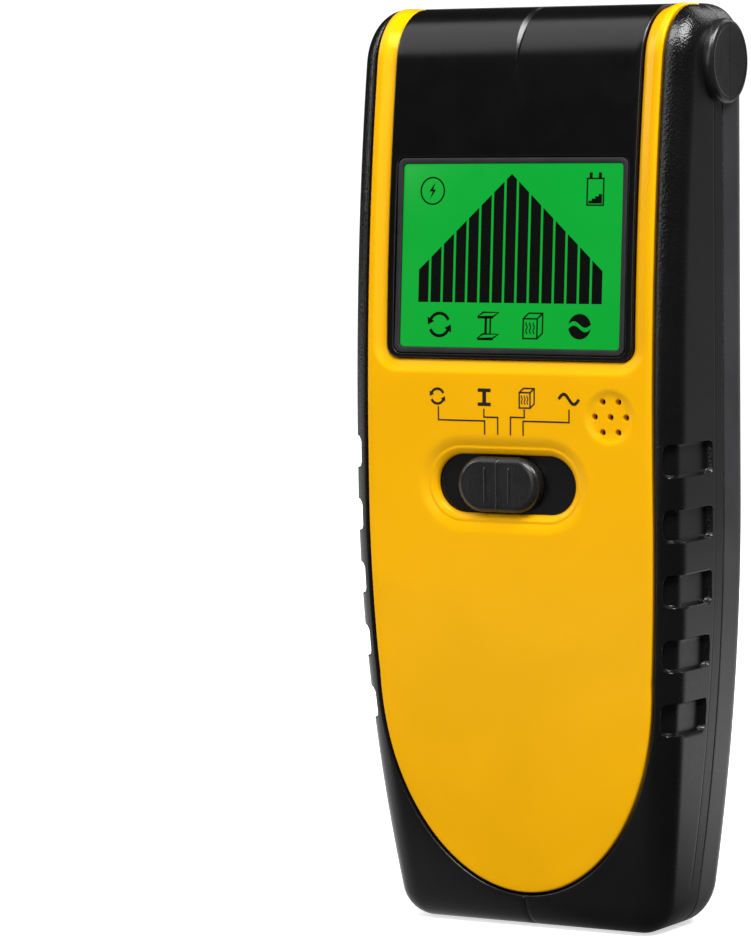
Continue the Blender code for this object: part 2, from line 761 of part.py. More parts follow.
def make_board_components():
    for name, size in CHIPS.items():
        chip = on_board(name, *size)
        if name == "crystal":
            round_edges(chip, 1.0)
    base = BOARD_BACK + GAP
    for name, (x, level, radius, height) in CAPACITORS.items():
        add_object(name, rod("Y", (x, level), radius, base, base + height), "frame_grey")
    link = box((-12.0, base, 96.0), (12.0, SENSOR_FRONT - GAP, 98.5))
    add_object("board_link", link, "chip_black")
    middle = (GRILLE_X, GRILLE_LEVEL)
    sounder = rod("Y", middle, SOUNDER_RADIUS, SOUNDER_START, SOUNDER_END, segments=28)
    add_object("sounder", sounder, "chip_black")


def make_sensor():
    """The board that faces the wall, with its three plates and the coil that finds metal."""
    low = (-SENSOR_HALF_WIDTH, SENSOR_FRONT, SENSOR_BOTTOM)
    high = (SENSOR_HALF_WIDTH, SENSOR_BACK, SENSOR_TOP)
    add_object("sensor_board", box(low, high), "board_green")
    for side, (left, right) in SENSOR_PLATES.items():
        low = (left, SENSOR_BACK + GAP, PLATE_BOTTOM)
        high = (right, SENSOR_BACK + GAP + 0.4, PLATE_TOP)
        add_object(f"sensor_plate_{side}", box(low, high), "copper")
    middle = (0.0, COIL_LEVEL)
    back = SENSOR_FRONT - GAP
    front = back - COIL_THICKNESS
    coil = add_object("metal_coil", rod("Y", middle, COIL_RADIUS, front, back, 32), "copper")
    cut(coil, add_object("coil hole", rod("Y", middle, COIL_HOLE, -FAR, FAR, 32)))
    add_object("coil_core", rod("Y", middle, CORE_RADIUS, front, back), "ferrite")


# ---- battery bay ----


def make_lead(name, x, finish):
    """A lead from the snap connector, out of the top of the bay and forward to the main board."""
    route = [
        (x, 6.0, 70.6),
        (x, 6.0, 76.0),
        (x, 5.6, 83.0),
        (x, 1.5, 87.4),
        (x, BOARD_BACK + GAP, 88.0),
    ]
    curve = bpy.data.curves.new(name, "CURVE")
    curve.dimensions = "3D"
    curve.bevel_depth = LEAD_RADIUS * MM
    curve.bevel_resolution = 1
    curve.use_fill_caps = True
    curve.resolution_u = 4
    curve.materials.append(MATERIALS[finish])
    spline = curve.splines.new("BEZIER")
    spline.bezier_points.add(len(route) - 1)
    for point, place in zip(spline.bezier_points, route):
        point.co = Vector(place) * MM
        point.handle_left_type = "AUTO"
        point.handle_right_type = "AUTO"
    bpy.context.collection.objects.link(bpy.data.objects.new(name, curve))


def make_battery():
    can = add_object("battery", box((-13.1, -2.1, 18.0), (13.1, 15.2, 64.6)), "battery_jacket")
    round_edges(can, 1.6)
    for name, x, radius in (("positive", -6.35, 2.9), ("negative", 6.35, 3.9)):
        pole = rod("Z", (x, 6.5), radius, 64.9, 67.3)
        add_object(f"battery_terminal_{name}", pole, "steel")
    snap = add_object("battery_snap", box((-12.5, -0.6, 67.6), (12.5, 13.6, 70.3)), "foam")
    round_edges(snap, 0.8, 1)
    add_object("battery_pad", box((-11.0, -0.1, 15.8), (11.0, 13.9, 17.7)), "foam")
    make_lead("lead_red", -2.5, "red_lead")
    make_lead("lead_black", 2.5, "black_lead")


def make_battery_door():
    """A door that turns on two pegs at its lower edge, with a springy tongue at its upper edge."""
    front = BACK - DOOR_THICKNESS
    plate = box((-DOOR_HALF_WIDTH, front, DOOR_BOTTOM), (DOOR_HALF_WIDTH, BACK, DOOR_TOP))
    door = add_object("battery_door", plate, "black_abs", DOOR_AXIS)
    knuckle_radius = DOOR_THICKNESS / 2 - 0.01
    knuckle = rod("X", DOOR_AXIS.yz, knuckle_radius, 0.02 - DOOR_HALF_WIDTH, DOOR_HALF_WIDTH - 0.02)
    pegs = rod("X", DOOR_AXIS.yz, PEG_RADIUS, -PEG_END, PEG_END, segments=12)
    join(door, add_object("door knuckle", knuckle), add_object("door pegs", pegs))
    for side in (-1, 1):
        x = side * TONGUE_HALF
        low = (x - SLIT_HALF, 0.0, DOOR_TOP - TONGUE_LENGTH)
        high = (x + SLIT_HALF, FAR, DOOR_TOP + 5.0)
        cut(door, add_object(f"tongue slit {side}", box(low, high)))


# ---- fasteners ----


def make_screw(name, x, level, head_radius, head, shank_radius, tip):
    """A pan-head screw along Y. head is the Y range of its head, and tip is the Y of its point."""
    made = add_object(name, rod("Y", (x, level), head_radius, *head), "steel")
    shank = rod("Y", (x, level), shank_radius, tip, sum(head) / 2, segments=12)
    join(made, add_object(f"{name} shank", shank))


def make_screws():
    floor = BACK - COUNTERBORE_DEPTH
    for name, (x, level) in CASE_SCREWS.items():
        head = (floor + GAP, floor + GAP + 1.8)
        make_screw(f"case_screw_{name}", x, level, 2.6, head, 1.45, -2.0)
    for name, (x, level) in zip(("left", "right", "top"), BOARD_SCREWS):
        base = BOARD_BACK + GAP
        tip = bow(level) + FRONT_WALL + 1.2
        make_screw(f"board_screw_{name}", x, level, 2.1, (base, base + 1.4), 0.95, tip)


clear_scene()
MATERIALS = {finish: make_material(finish) for finish in FINISHES}
make_front_shell()
make_rear_shell()
make_face_plate()
make_display()
make_mode_switch()
make_scan_button()
make_main_board()
make_board_components()
make_sensor()
make_battery()
make_battery_door()
make_screws()
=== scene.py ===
"""The looks of a hand-held stud finder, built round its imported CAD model.

World axes: +Z up along the body, -Y the display side, +Y the flat sensing side, +X the right-hand
side. Shapes are worked out in millimetres, with the same formulas as the CAD model, and MM turns
them into metres when a mesh is made.
"""

import json
import math

import bmesh
import bpy
import numpy as np
from mathutils import Matrix, Vector
from mathutils.geometry import delaunay_2d_cdt
from mathutils.kdtree import KDTree


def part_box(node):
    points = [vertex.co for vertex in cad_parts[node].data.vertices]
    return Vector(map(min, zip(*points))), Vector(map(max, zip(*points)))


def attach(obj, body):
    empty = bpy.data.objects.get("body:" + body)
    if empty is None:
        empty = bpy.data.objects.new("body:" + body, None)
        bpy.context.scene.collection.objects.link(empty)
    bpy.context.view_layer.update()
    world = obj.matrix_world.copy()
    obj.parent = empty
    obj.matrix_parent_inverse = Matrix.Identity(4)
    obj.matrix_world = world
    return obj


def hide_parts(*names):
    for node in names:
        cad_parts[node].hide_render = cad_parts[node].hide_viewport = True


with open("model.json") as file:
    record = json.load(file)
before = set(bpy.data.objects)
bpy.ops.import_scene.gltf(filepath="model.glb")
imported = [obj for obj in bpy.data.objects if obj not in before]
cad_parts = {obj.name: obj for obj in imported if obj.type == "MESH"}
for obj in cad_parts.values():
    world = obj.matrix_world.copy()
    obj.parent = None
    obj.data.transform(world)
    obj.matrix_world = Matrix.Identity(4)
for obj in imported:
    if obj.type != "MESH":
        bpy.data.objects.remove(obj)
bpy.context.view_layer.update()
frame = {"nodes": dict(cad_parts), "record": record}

MM = 0.001

# Body
HEIGHT = 180.0
HALF_WIDTH = 35.9
TAPER = 7.0
TAPER_TOP = 85.0
FRONT = -16.1
BACK = 17.7
SEAM = 5.7
BULGE_LEVEL = 98.0
BOW_RADIUS_UP = 500.0
BOW_RADIUS_DOWN = 720.0
NOSE_RADIUS = 12.0
TOE_RADIUS = 6.2
HEEL_RADIUS = 8.0
EDGE_RADIUS = 5.8
EDGE_TURN = EDGE_RADIUS * math.pi / 2  # distance round the edge between front and side
SEAM_GAP = 0.15  # from the parting plane to each shell
SEAM_ROUND = 0.25
WALL = 2.0
THINNEST = 0.6  # wall left behind the deepest pocket
PATCH_TURN = 25.0  # degrees round the edge where the side patch takes over from the front
PATCH_START = EDGE_RADIUS * math.radians(PATCH_TURN)
FAN_LOW = 26.0  # below and above these levels a side patch's rows fan out
FAN_HIGH = 158.0
SIDES = (-1.0, 1.0)

# Face plate
PLATE = 2.0
PLATE_MARGIN = 4.65
TOE_CENTRE = 50.0
TOE_HALF_WIDTH = 30.0
TOE_HALF_HEIGHT = 43.0
PLATE_ROUND = 0.45
GROOVE = 0.55  # width of the groove between the plate and the shell
GROOVE_ROUND = 0.35
FLOOR_DEPTH = 2.3  # surface under the plate
FLOOR_THICKNESS = 1.2
TOE_LINE_HALF = 0.3  # the fine moulding line down the middle of the toe
TOE_LINE_DEPTH = 0.22

# Window and display
WINDOW_HALF_WIDTH = 27.0
WINDOW_BOTTOM = 111.8
WINDOW_CORNER = 2.6
WINDOW_DEPTH = 0.3
WINDOW_GAP = 0.2
WINDOW_ROUND = 0.3
BEVEL_WIDTH = 2.6
BEVEL_DEPTH = 0.95
BEVEL_SOFTNESS = 0.12
BEVEL_STEPS = (0.08, 0.25, 0.9, 1.6, 2.1, 2.35, 2.6, 2.85, 3.1)
BEVEL_ROUND = 0.25
OPENING_GAP = 0.15  # between the window's opening and the display's frame
OPENING_CORNER = 1.5
OPENING_ROUND = 0.25
NOTCH_START = 168.2  # level where the notch in the nose begins
NOTCH_END = 4.0  # from its upper end to the parting plane, over the surface
NOTCH_HALF_WIDTH = 0.78
NOTCH_DEPTH = 1.2
NOTCH_CREST = 0.6  # where the notch is deepest, as a share of its half width
LCD_LEVEL = 131.75
LCD_FACE = -14.64
LCD_TILT = math.radians(-3.85)
LCD_HALF_WIDTH = 24.1
LCD_HALF_HEIGHT = 17.85
LCD_CORNER = 0.8
BEZEL = 1.1
GLASS_DEPTH = 0.5
BEZEL_DEPTH = 0.2
LCD_BASE = 2.2  # depth of the frame's and the glass's back
BARS_BASE = -9.1  # levels on the display, from its middle
ICON_ROW = -13.45
TOP_ICONS = 12.55
MODE_LEVEL = 104.4
LEADERS = (
    ((-15.1, 102.3), (-15.1, 99.8), (-4.83, 99.8), (-4.83, 97.3)),
    ((-4.98, 102.0), (-4.98, 100.55), (-1.95, 100.55), (-1.95, 97.3)),
    ((3.89, 102.05), (3.89, 100.65), (0.85, 100.65), (0.85, 97.3)),
    ((13.64, 102.3), (13.64, 99.95), (3.63, 99.95), (3.63, 97.3)),
)
LEADER_WIDTH = 0.3

# Mode switch
SLOT_CENTRE = -0.9
SLOT_HALF_LENGTH = 15.1
SLOT_HALF_HEIGHT = 5.75
SLOT_LEVEL = 87.45
LIP_CREST = 1.3  # distances from the slot: the inner slope's crest, the crease and the dish's rim
DISH_CREASE = 1.65
DISH_RIM = 3.8
LIP_DEPTH = 0.52
SLOT_DROP = 0.72  # how far the surface falls from the crest to the slot
DISH_DEPTH = 0.60
DISH_STEPS = (0.8, 1.05, 1.3, 1.47, 1.65, 1.9, 2.2, 2.6, 3.0, 3.4, 3.8, 4.3)
SLOT_ROUND = 0.5
KNOB_REST = -1.96
KNOB_HALF_LENGTH = 9.0
KNOB_HALF_HEIGHT = 5.4
KNOB_FACE = -16.9
KNOB_BASE = -14.05
KNOB_STEM = 1.5
STEM_LOW = -6.7  # ends of the slot for the knob's stem
STEM_HIGH = 5.6
STEM_HALF_HEIGHT = 1.6
STEM_BACK = -10.5
RIBS = ((-1, 3.5), (0, 5.25), (1, 3.5))  # place and half length of each rib
RIB_PITCH = 2.65
RIB_ACROSS = (-0.38, -0.3, -0.17, 0.0, 0.17, 0.3, 0.38)
RIB_RISE = (-0.3, 0.0, 0.2, 0.26, 0.2, 0.0, -0.3)
KNOB_EDGE = (  # the knob's rounded edge and slightly hollow face: distance in, depth below the top
    (0.0, 1.3),
    (0.05, 1.05),
    (0.18, 0.8),
    (0.4, 0.52),
    (0.66, 0.27),
    (0.95, 0.1),
    (1.25, 0.02),
    (1.5, 0.0),
    (1.9, 0.03),
    (2.6, 0.07),
    (4.2, 0.09),
)

# Sounder grille
GRILLE_X = 22.3
GRILLE_LEVEL = 101.1
GRILLE_PITCH = 3.37
GRILLE_HOLE = 0.6
GRILLE_DISH = 5.3
GRILLE_DEPTH = 0.45
GRILLE_SLOPE = 1.6
GRILLE_SLOPE_START = 1.4  # from the slope's inner end to the dish's rim
GRILLE_ROUND = 0.16

# Sides
DISC_LEVEL = 168.75
DISC_RADIUS = 8.2
DISC_RISE = 1.8
POCKET_LEVELS = (92.9, 80.4, 67.9, 55.4, 43.0)
POCKET_HALF_HEIGHT = 3.0
POCKET_DEPTH = 1.3
POCKET_START = 3.3  # distance round the edge where a pocket begins
POCKET_BACK = 0.6  # Y where it ends
POCKET_WALL = 0.42
POCKET_CORNERS = (1.5, 0.9)
CREASE_Y = 2.0
CREASE_HALF = 0.4
CREASE_DEPTH = 0.04
CREASE_LOW = 8.0
CREASE_HIGH = 171.0
SCAN_LEVEL = 112.0
SCAN_Y = -3.1
SCAN_HALF_DEPTH = 4.2
SCAN_HALF_HEIGHT = 8.7
SCAN_RISE = 0.6
SCAN_RECESS = 2.3
SCAN_GAP = 0.35
SCAN_CORNER = 2.3
SCAN_RIDGE = 2.0  # pitch of the button's ridges
SCAN_RIDGE_HALF = 2.2  # half length of each

# Back
DOOR_HALF_WIDTH = 17.1
DOOR_BOTTOM = 15.0
DOOR_TOP = 79.7
DOOR_THICKNESS = 1.6
DOOR_GAP = 0.3
DOOR_RECESS_BOTTOM = 13.7
DOOR_ROUND = 0.35
GRIP = ((-9.0, 66.5), (9.0, 76.0))  # corners of the cover's thumb grip
GRIP_CORNER = 2.5
GRIP_DEPTH = 0.6
GRIP_RIDGE = 0.35
GRIP_PITCH = 1.4
PEG_RADIUS = 0.6
HOLE_ROUND = 0.3
BAY_HALF_WIDTH = 14.2
BAY_BOTTOM = 15.5
BAY_TOP = 77.5
BAY_FLOOR = -2.6
CASE_SCREWS = {
    "lower_left": (-23.9, 30.0),
    "lower_right": (23.9, 30.0),
    "upper_left": (-28.0, 159.0),
    "upper_right": (28.0, 159.0),
}
COUNTERBORE = 3.0
COUNTERBORE_DEPTH = 2.8
SCREW_HEAD = 2.6
SCREW_FACE = 17.0
SCREW_SEAT = 15.2
CROSS_ARM = 1.45
CROSS_HALF = 0.34
CROSS_DEPTH = 0.9
THREAD_PITCH = 0.8
THREAD_ROOT = 1.15
THREAD_CREST = 1.5
BORE_STEPS = 40

# Meshes
SHARP = 38.0  # degrees between faces beyond which an edge is shaded sharp
INNER_ROUND = 0.12  # rounding of the edges of the carried-over nodes
FINE = 0.55  # spacing of points along edges
COARSE = 0.95  # spacing of points inside smooth areas
ROW_STEP = 0.8  # spacing of a side patch's rows and columns
SIDE_STEP = 0.75
TURN_STEP = 0.55


# ---- the body's own shape ----


def half_width(level):
    draw_in = np.maximum(0.0, 1.0 - np.asarray(level) / TAPER_TOP)
    return HALF_WIDTH - TAPER * draw_in**2


def bow(level):
    """Y of the bowed front at this level."""
    rise = np.asarray(level) - BULGE_LEVEL
    return FRONT + rise * rise / (2 * np.where(rise > 0, BOW_RADIUS_UP, BOW_RADIUS_DOWN))


def bow_angle(level):
    """Direction of the front's outward normal, in degrees: 180 is -Y, 90 is up, 270 is down."""
    rise = np.asarray(level) - BULGE_LEVEL
    radius = np.where(rise > 0, BOW_RADIUS_UP, BOW_RADIUS_DOWN)
    return 180.0 - np.degrees(np.arctan(rise / radius))


def tangent_level(radius, towards_top):
    """Level where an end's arc meets the bowed front smoothly."""
    level = HEIGHT - radius if towards_top else radius
    for _ in range(6):
        lean = math.sin(math.radians(abs(180.0 - float(bow_angle(level)))))
        level = HEIGHT - radius * (1 - lean) if towards_top else radius * (1 - lean)
    return level


def profile_arc(y, z, radius, start, end, steps=30):
    angle = np.linspace(start, end, steps + 1)
    turn = np.radians(angle)
    return np.stack([y + radius * np.cos(turn), z + radius * np.sin(turn), angle], axis=1)


def with_distance(rows):
    """Columns: distance along the profile, y, z and normal angle."""
    rows = np.asarray(rows, float)
    steps = np.hypot(np.diff(rows[:, 0]), np.diff(rows[:, 1]))
    return np.column_stack([np.concatenate([[0.0], np.cumsum(steps)]), rows])


def front_profile():
    low = tangent_level(TOE_RADIUS, towards_top=False)
    high = tangent_level(NOSE_RADIUS, towards_top=True)
    toe_y = bow(low) - TOE_RADIUS * np.cos(np.radians(bow_angle(low)))
    nose_y = bow(high) - NOSE_RADIUS * np.cos(np.radians(bow_angle(high)))
    levels = np.linspace(low, high, 160)[1:-1]
    toe = profile_arc(toe_y, TOE_RADIUS, TOE_RADIUS, 270.0, bow_angle(low))
    middle = np.stack([bow(levels), levels, bow_angle(levels)], axis=1)
    nose = profile_arc(nose_y, HEIGHT - NOSE_RADIUS, NOSE_RADIUS, bow_angle(high), 90.0)
    return with_distance(np.vstack([[SEAM, 0.0, 270.0], toe, middle, nose, [SEAM, HEIGHT, 90.0]]))


def back_profile():
    heel_y = BACK - HEEL_RADIUS
    heel = profile_arc(heel_y, HEEL_RADIUS, HEEL_RADIUS, -90.0, 0.0)
    head = profile_arc(heel_y, HEIGHT - HEEL_RADIUS, HEEL_RADIUS, 0.0, 90.0)
    return with_distance(np.vstack([[SEAM, 0.0, -90.0], heel, head, [SEAM, HEIGHT, 90.0]]))


PROFILES = {"front": front_profile(), "back": back_profile()}


def place(half, across, along, depth):
    """Points of the body's surface, sunk by depth.

    across is measured over the surface from the middle line, round the edge towards the side.
    along is measured up the side profile, from the lower seam.
    """
    distance, y, z, angle = PROFILES[half].T
    base_y = np.interp(along, distance, y)
    base_z = np.interp(along, distance, z)
    turn = np.radians(np.interp(along, distance, angle))
    reach = np.abs(across)
    level = base_z
    for _ in range(3):
        flat = half_width(level) - EDGE_RADIUS
        lean = np.clip((reach - flat) / EDGE_RADIUS, 0.0, math.pi / 2)
        level = base_z - EDGE_RADIUS * (1 - np.cos(lean)) * np.sin(turn)
    x = np.minimum(reach, flat) + (EDGE_RADIUS - depth) * np.sin(lean)
    sunk = EDGE_RADIUS * (1 - np.cos(lean)) + depth * np.cos(lean)
    side = np.where(np.asarray(across) < 0, -1.0, 1.0)
    y, z = base_y - sunk * np.cos(turn), base_z - sunk * np.sin(turn)
    return np.stack([side * x, y, z], axis=-1)


def locate(half, points):
    """The (across, along) coordinates of points given as (x, level)."""
    points = np.asarray(points, float)
    distance, _, z, angle = PROFILES[half].T
    reach, level = np.abs(points[:, 0]), points[:, 1]
    along = np.interp(level, z, distance)
    for _ in range(4):
        flat = half_width(level) - EDGE_RADIUS
        lean = np.arcsin(np.clip((reach - flat) / EDGE_RADIUS, 0.0, 1.0))
        turn = np.radians(np.interp(along, distance, angle))
        along = np.interp(level + EDGE_RADIUS * (1 - np.cos(lean)) * np.sin(turn), z, distance)
    across = np.minimum(reach, flat) + EDGE_RADIUS * lean
    return np.column_stack([np.sign(points[:, 0]) * across, along])


TOP = {half: rows[-1, 0] for half, rows in PROFILES.items()}  # along of the upper seam


# ---- outlines, as arrays of two-dimensional points ----


def arc(x, z, radius, start, end, steps=10):
    angles = np.radians(np.linspace(start, end, steps + 1))
    return np.column_stack([x + radius * np.cos(angles), z + radius * np.sin(angles)])


def rounded_rectangle(left, right, bottom, top, radius, steps=8):
    in_left, in_right, low, high = left + radius, right - radius, bottom + radius, top - radius
    centres = ((in_left, low, 180), (in_right, low, 270), (in_right, high, 0), (in_left, high, 90))
    return np.vstack([arc(x, z, radius, start, start + 90, steps) for x, z, start in centres])


def slot_outline(centre, level, half_length, half_height, steps=14):
    left, right = centre - half_length, centre + half_length
    low, high = level - half_height, level + half_height
    return rounded_rectangle(left, right, low, high, half_height - 0.005, steps)


def outline_box(left, right, low, high):
    return np.array([[left, low], [right, low], [right, high], [left, high]])


def circle(x, z, radius, steps=18):
    angles = np.linspace(0, 2 * math.pi, steps, endpoint=False)
    return np.column_stack([x + radius * np.cos(angles), z + radius * np.sin(angles)])


def resample(path, spacing, closed=False):
    """The same path with added points, so that none are further apart than spacing."""
    path = np.asarray(path, float)
    ends = np.vstack([path[1:], path[:1]]) if closed else path[1:]
    made = []
    for start, end in zip(path, ends):
        steps = max(1, math.ceil(np.hypot(*(end - start)) / spacing))
        shares = np.arange(steps)[:, None] / steps
        made.append(start + (end - start) * shares)
    if not closed:
        made.append(path[-1:])
    return np.vstack(made)


def offset(path, distance, closed=False):
    """The path moved to its left by distance."""
    if closed:
        before, after = np.roll(path, 1, 0), np.roll(path, -1, 0)
    else:
        before = np.vstack([2 * path[0] - path[1], path[:-1]])
        after = np.vstack([path[1:], 2 * path[-1] - path[-2]])
    first, second = path - before, after - path
    first /= np.maximum(np.hypot(*first.T), 1e-9)[:, None]
    second /= np.maximum(np.hypot(*second.T), 1e-9)[:, None]
    first = np.column_stack([-first[:, 1], first[:, 0]])
    second = np.column_stack([-second[:, 1], second[:, 0]])
    spread = np.maximum(1 + (first * second).sum(1), 0.4)
    return path + distance * (first + second) / spread[:, None]


def distance_to(points, path, closed=False):
    """Shortest distance from each point to the path."""
    starts = path if closed else path[:-1]
    ends = np.roll(path, -1, 0) if closed else path[1:]
    step = ends - starts
    length = np.maximum((step**2).sum(1), 1e-12)
    found = np.empty(len(points))
    for part in np.array_split(np.arange(len(points)), max(1, len(points) // 1500)):
        away = points[part][:, None, :] - starts
        share = np.clip((away * step).sum(2) / length, 0.0, 1.0)
        away -= share[:, :, None] * step
        found[part] = np.sqrt((away**2).sum(2).min(1))
    return found


def inside(points, loops):
    """Which points lie inside the loops, counted even-odd."""
    crossings = np.zeros(len(points), int)
    for loop in loops:
        ends = np.roll(loop, -1, 0)
        for (x0, z0), (x1, z1) in zip(loop, ends):
            if z0 == z1:
                continue
            spans = (points[:, 1] >= min(z0, z1)) & (points[:, 1] < max(z0, z1))
            at = x0 + (points[:, 1] - z0) * (x1 - x0) / (z1 - z0)
            crossings += spans & (at > points[:, 0])
    return crossings % 2 == 1


def fill(loops, lines=(), spacing=COARSE):
    """Points and triangles that fill the closed loops. lines are (path, closed) edges inside them."""
    points, edges = [], []
    for path, closed in [(loop, True) for loop in loops] + list(lines):
        start, count = len(points), len(path)
        points.extend(path.tolist())
        last = count if closed else count - 1
        edges.extend((start + i, start + (i + 1) % count) for i in range(last))
    fixed = KDTree(len(points))
    for i, point in enumerate(points):
        fixed.insert((*point, 0.0), i)
    fixed.balance()
    low, high = loops[0].min(0), loops[0].max(0)
    rows = np.arange(low[1], high[1], spacing * math.sqrt(3) / 2)
    columns = np.arange(low[0], high[0], spacing)
    grid = np.array([(x + spacing / 2 * (j % 2), z) for j, z in enumerate(rows) for x in columns])
    grid = grid[inside(grid, loops)]
    clear = 0.6 * spacing
    points.extend(point for point in grid.tolist() if fixed.find((*point, 0.0))[2] > clear)
    vectors = [Vector(point) for point in points]
    corners, _, faces, _, _, _ = delaunay_2d_cdt(vectors, edges, [], 0, 1e-6)
    corners = np.array([tuple(corner) for corner in corners])
    faces = np.array([tuple(face) for face in faces if len(face) == 3])
    return corners, faces[inside(corners[faces].mean(1), loops)]


def round_over(distance, radius):
    """Depth of an edge rounded with this radius, at a distance from it."""
    run = np.clip(distance, 0.0, radius)
    return radius - np.sqrt(np.maximum(radius**2 - (radius - run) ** 2, 0.0))


def round_steps(radius):
    """Distances from an edge that follow its rounding evenly."""
    return [radius * (1 - math.cos(math.radians(turn))) for turn in (18, 36, 54, 72, 90)]


def ease(share):
    share = np.clip(share, 0.0, 1.0)
    return share * share * (3 - 2 * share)


def soft_ramp(share, softness):
    """A straight ramp from 0 to 1 whose upper end is rounded off."""
    share = np.maximum(share, 0.0)
    bend = np.clip((share - 1 + softness) / (2 * softness), 0.0, 1.0)
    return np.minimum(share, 1 - softness) + 2 * softness * (bend - bend * bend / 2)


def rounded_edge(points, path, radius, closed=True):
    """Depth at these points of a rounding along the path."""
    return round_over(distance_to(points, path, closed), radius)


def seam_rounding(half, along):
    """Depth of the rounding at the lower and the upper seam."""
    top = TOP[half] - SEAM_GAP
    return round_over(along - SEAM_GAP, SEAM_ROUND) + round_over(top - along, SEAM_ROUND)


def beside(path, distances):
    """Lines for fill at these distances to the left of an open path."""
    return [(offset(path, distance), False) for distance in distances]


def around(loop, distances):
    """Lines for fill at these distances to the right of a loop, which runs round a hole."""
    return [(offset(loop, -distance, closed=True), True) for distance in distances]


def seam_lines(left, right, seams):
    """Lines for fill that follow the rounding of seams, each given as (along, way inwards)."""
    levels = [along + way * d for d in round_steps(SEAM_ROUND) for along, way in seams]
    return [(resample([[left, level], [right, level]], FINE), False) for level in levels]


def body_sheet(half, corners, faces, depth, inner_depth, thinnest=0.0):
    """Outer and inner points of a sheet that follows the body, and its triangles."""
    across, along = corners.T
    inner = np.maximum(inner_depth, depth + thinnest)
    return place(half, across, along, depth), place(half, across, along, inner), faces


# ---- meshes ----


class Shape:
    """Vertices in millimetres and faces, gathered into one piece."""

    def __init__(self):
        self.points = []
        self.faces = []
        self.marks = []
        self.mark = 0  # which of the piece's materials the next faces take

    def add(self, points, faces):
        start = len(self.points)
        self.points.extend(np.asarray(points, float).tolist())
        self.faces.extend([tuple(int(i) + start for i in face) for face in faces])
        self.marks.extend([self.mark] * len(faces))

    def skin(self, outer, inner, faces):
        """A closed skin between an outer and an inner surface that share their triangles."""
        faces = [tuple(int(i) for i in face) for face in faces]
        count = len(outer)
        seen = {}
        for face in faces:
            for a, b in zip(face, face[1:] + face[:1]):
                seen[(a, b)] = True
        walls = [(b, a, a + count, b + count) for a, b in seen if (b, a) not in seen]
        under = [tuple(i + count for i in face[::-1]) for face in faces]
        self.add(np.vstack([outer, inner]), faces + under + walls)

    def loft(self, loops, caps=(True, True)):
        """Rings of equal length joined by quads, with a flat face at each capped end."""
        count = len(loops[0])
        faces = []
        for a in range(0, (len(loops) - 1) * count, count):
            b = a + count
            for i in range(count):
                j = (i + 1) % count
                faces.append((a + i, a + j, b + j, b + i))
        if caps[0]:
            faces.append(tuple(range(count))[::-1])
        if caps[1]:
            faces.append(tuple(range((len(loops) - 1) * count, len(loops) * count)))
        self.add(np.vstack(loops), faces)

    def ring(self, loops):
        """Rings joined by quads, and the last joined to the first."""
        self.loft(loops + [loops[0]], caps=(False, False))

    def piece(self, name, materials, body, replaces=(), merge=0.0):
        """The finished piece. It rides on a body and stands in for the CAD nodes it replaces."""
        mesh = bpy.data.meshes.new(name)
        mesh.from_pydata([[c * MM for c in p] for p in self.points], [], self.faces)
        for material in materials:
            mesh.materials.append(MATERIALS[material])
        mesh.polygons.foreach_set("material_index", self.marks)
        straighten(mesh, merge)
        mesh.shade_smooth()
        mesh.set_sharp_from_angle(angle=math.radians(SHARP))
        made = bpy.data.objects.new(name, mesh)
        bpy.context.collection.objects.link(made)
        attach(made, body)
        if replaces:
            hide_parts(*replaces)


def straighten(mesh, merge):
    """Joins points that are closer than merge, and turns every closed part's faces outwards."""
    builder = bmesh.new()
    builder.from_mesh(mesh)
    if merge:
        bmesh.ops.remove_doubles(builder, verts=builder.verts, dist=merge * MM)
    bmesh.ops.recalc_face_normals(builder, faces=builder.faces)
    builder.to_mesh(mesh)
    builder.free()


def flat_ring(outline, y):
    """A loop of (x, z) points at this Y."""
    outline = np.asarray(outline)
    return np.column_stack([outline[:, 0], np.full(len(outline), y), outline[:, 1]])


def side_ring(outline, x):
    """A loop of (y, z) points at this X."""
    outline = np.asarray(outline)
    return np.column_stack([np.full(len(outline), x), outline[:, 0], outline[:, 1]])


def lcd_point(points, depth):
    """Points given square to the display, from the middle of its face, as (x, z)."""
    x, z = np.asarray(points, float).T
    cos, sin = math.cos(LCD_TILT), math.sin(LCD_TILT)
    y = LCD_FACE + depth * cos - z * sin
    return np.column_stack([x, y, LCD_LEVEL + depth * sin + z * cos])


# ---- materials ----


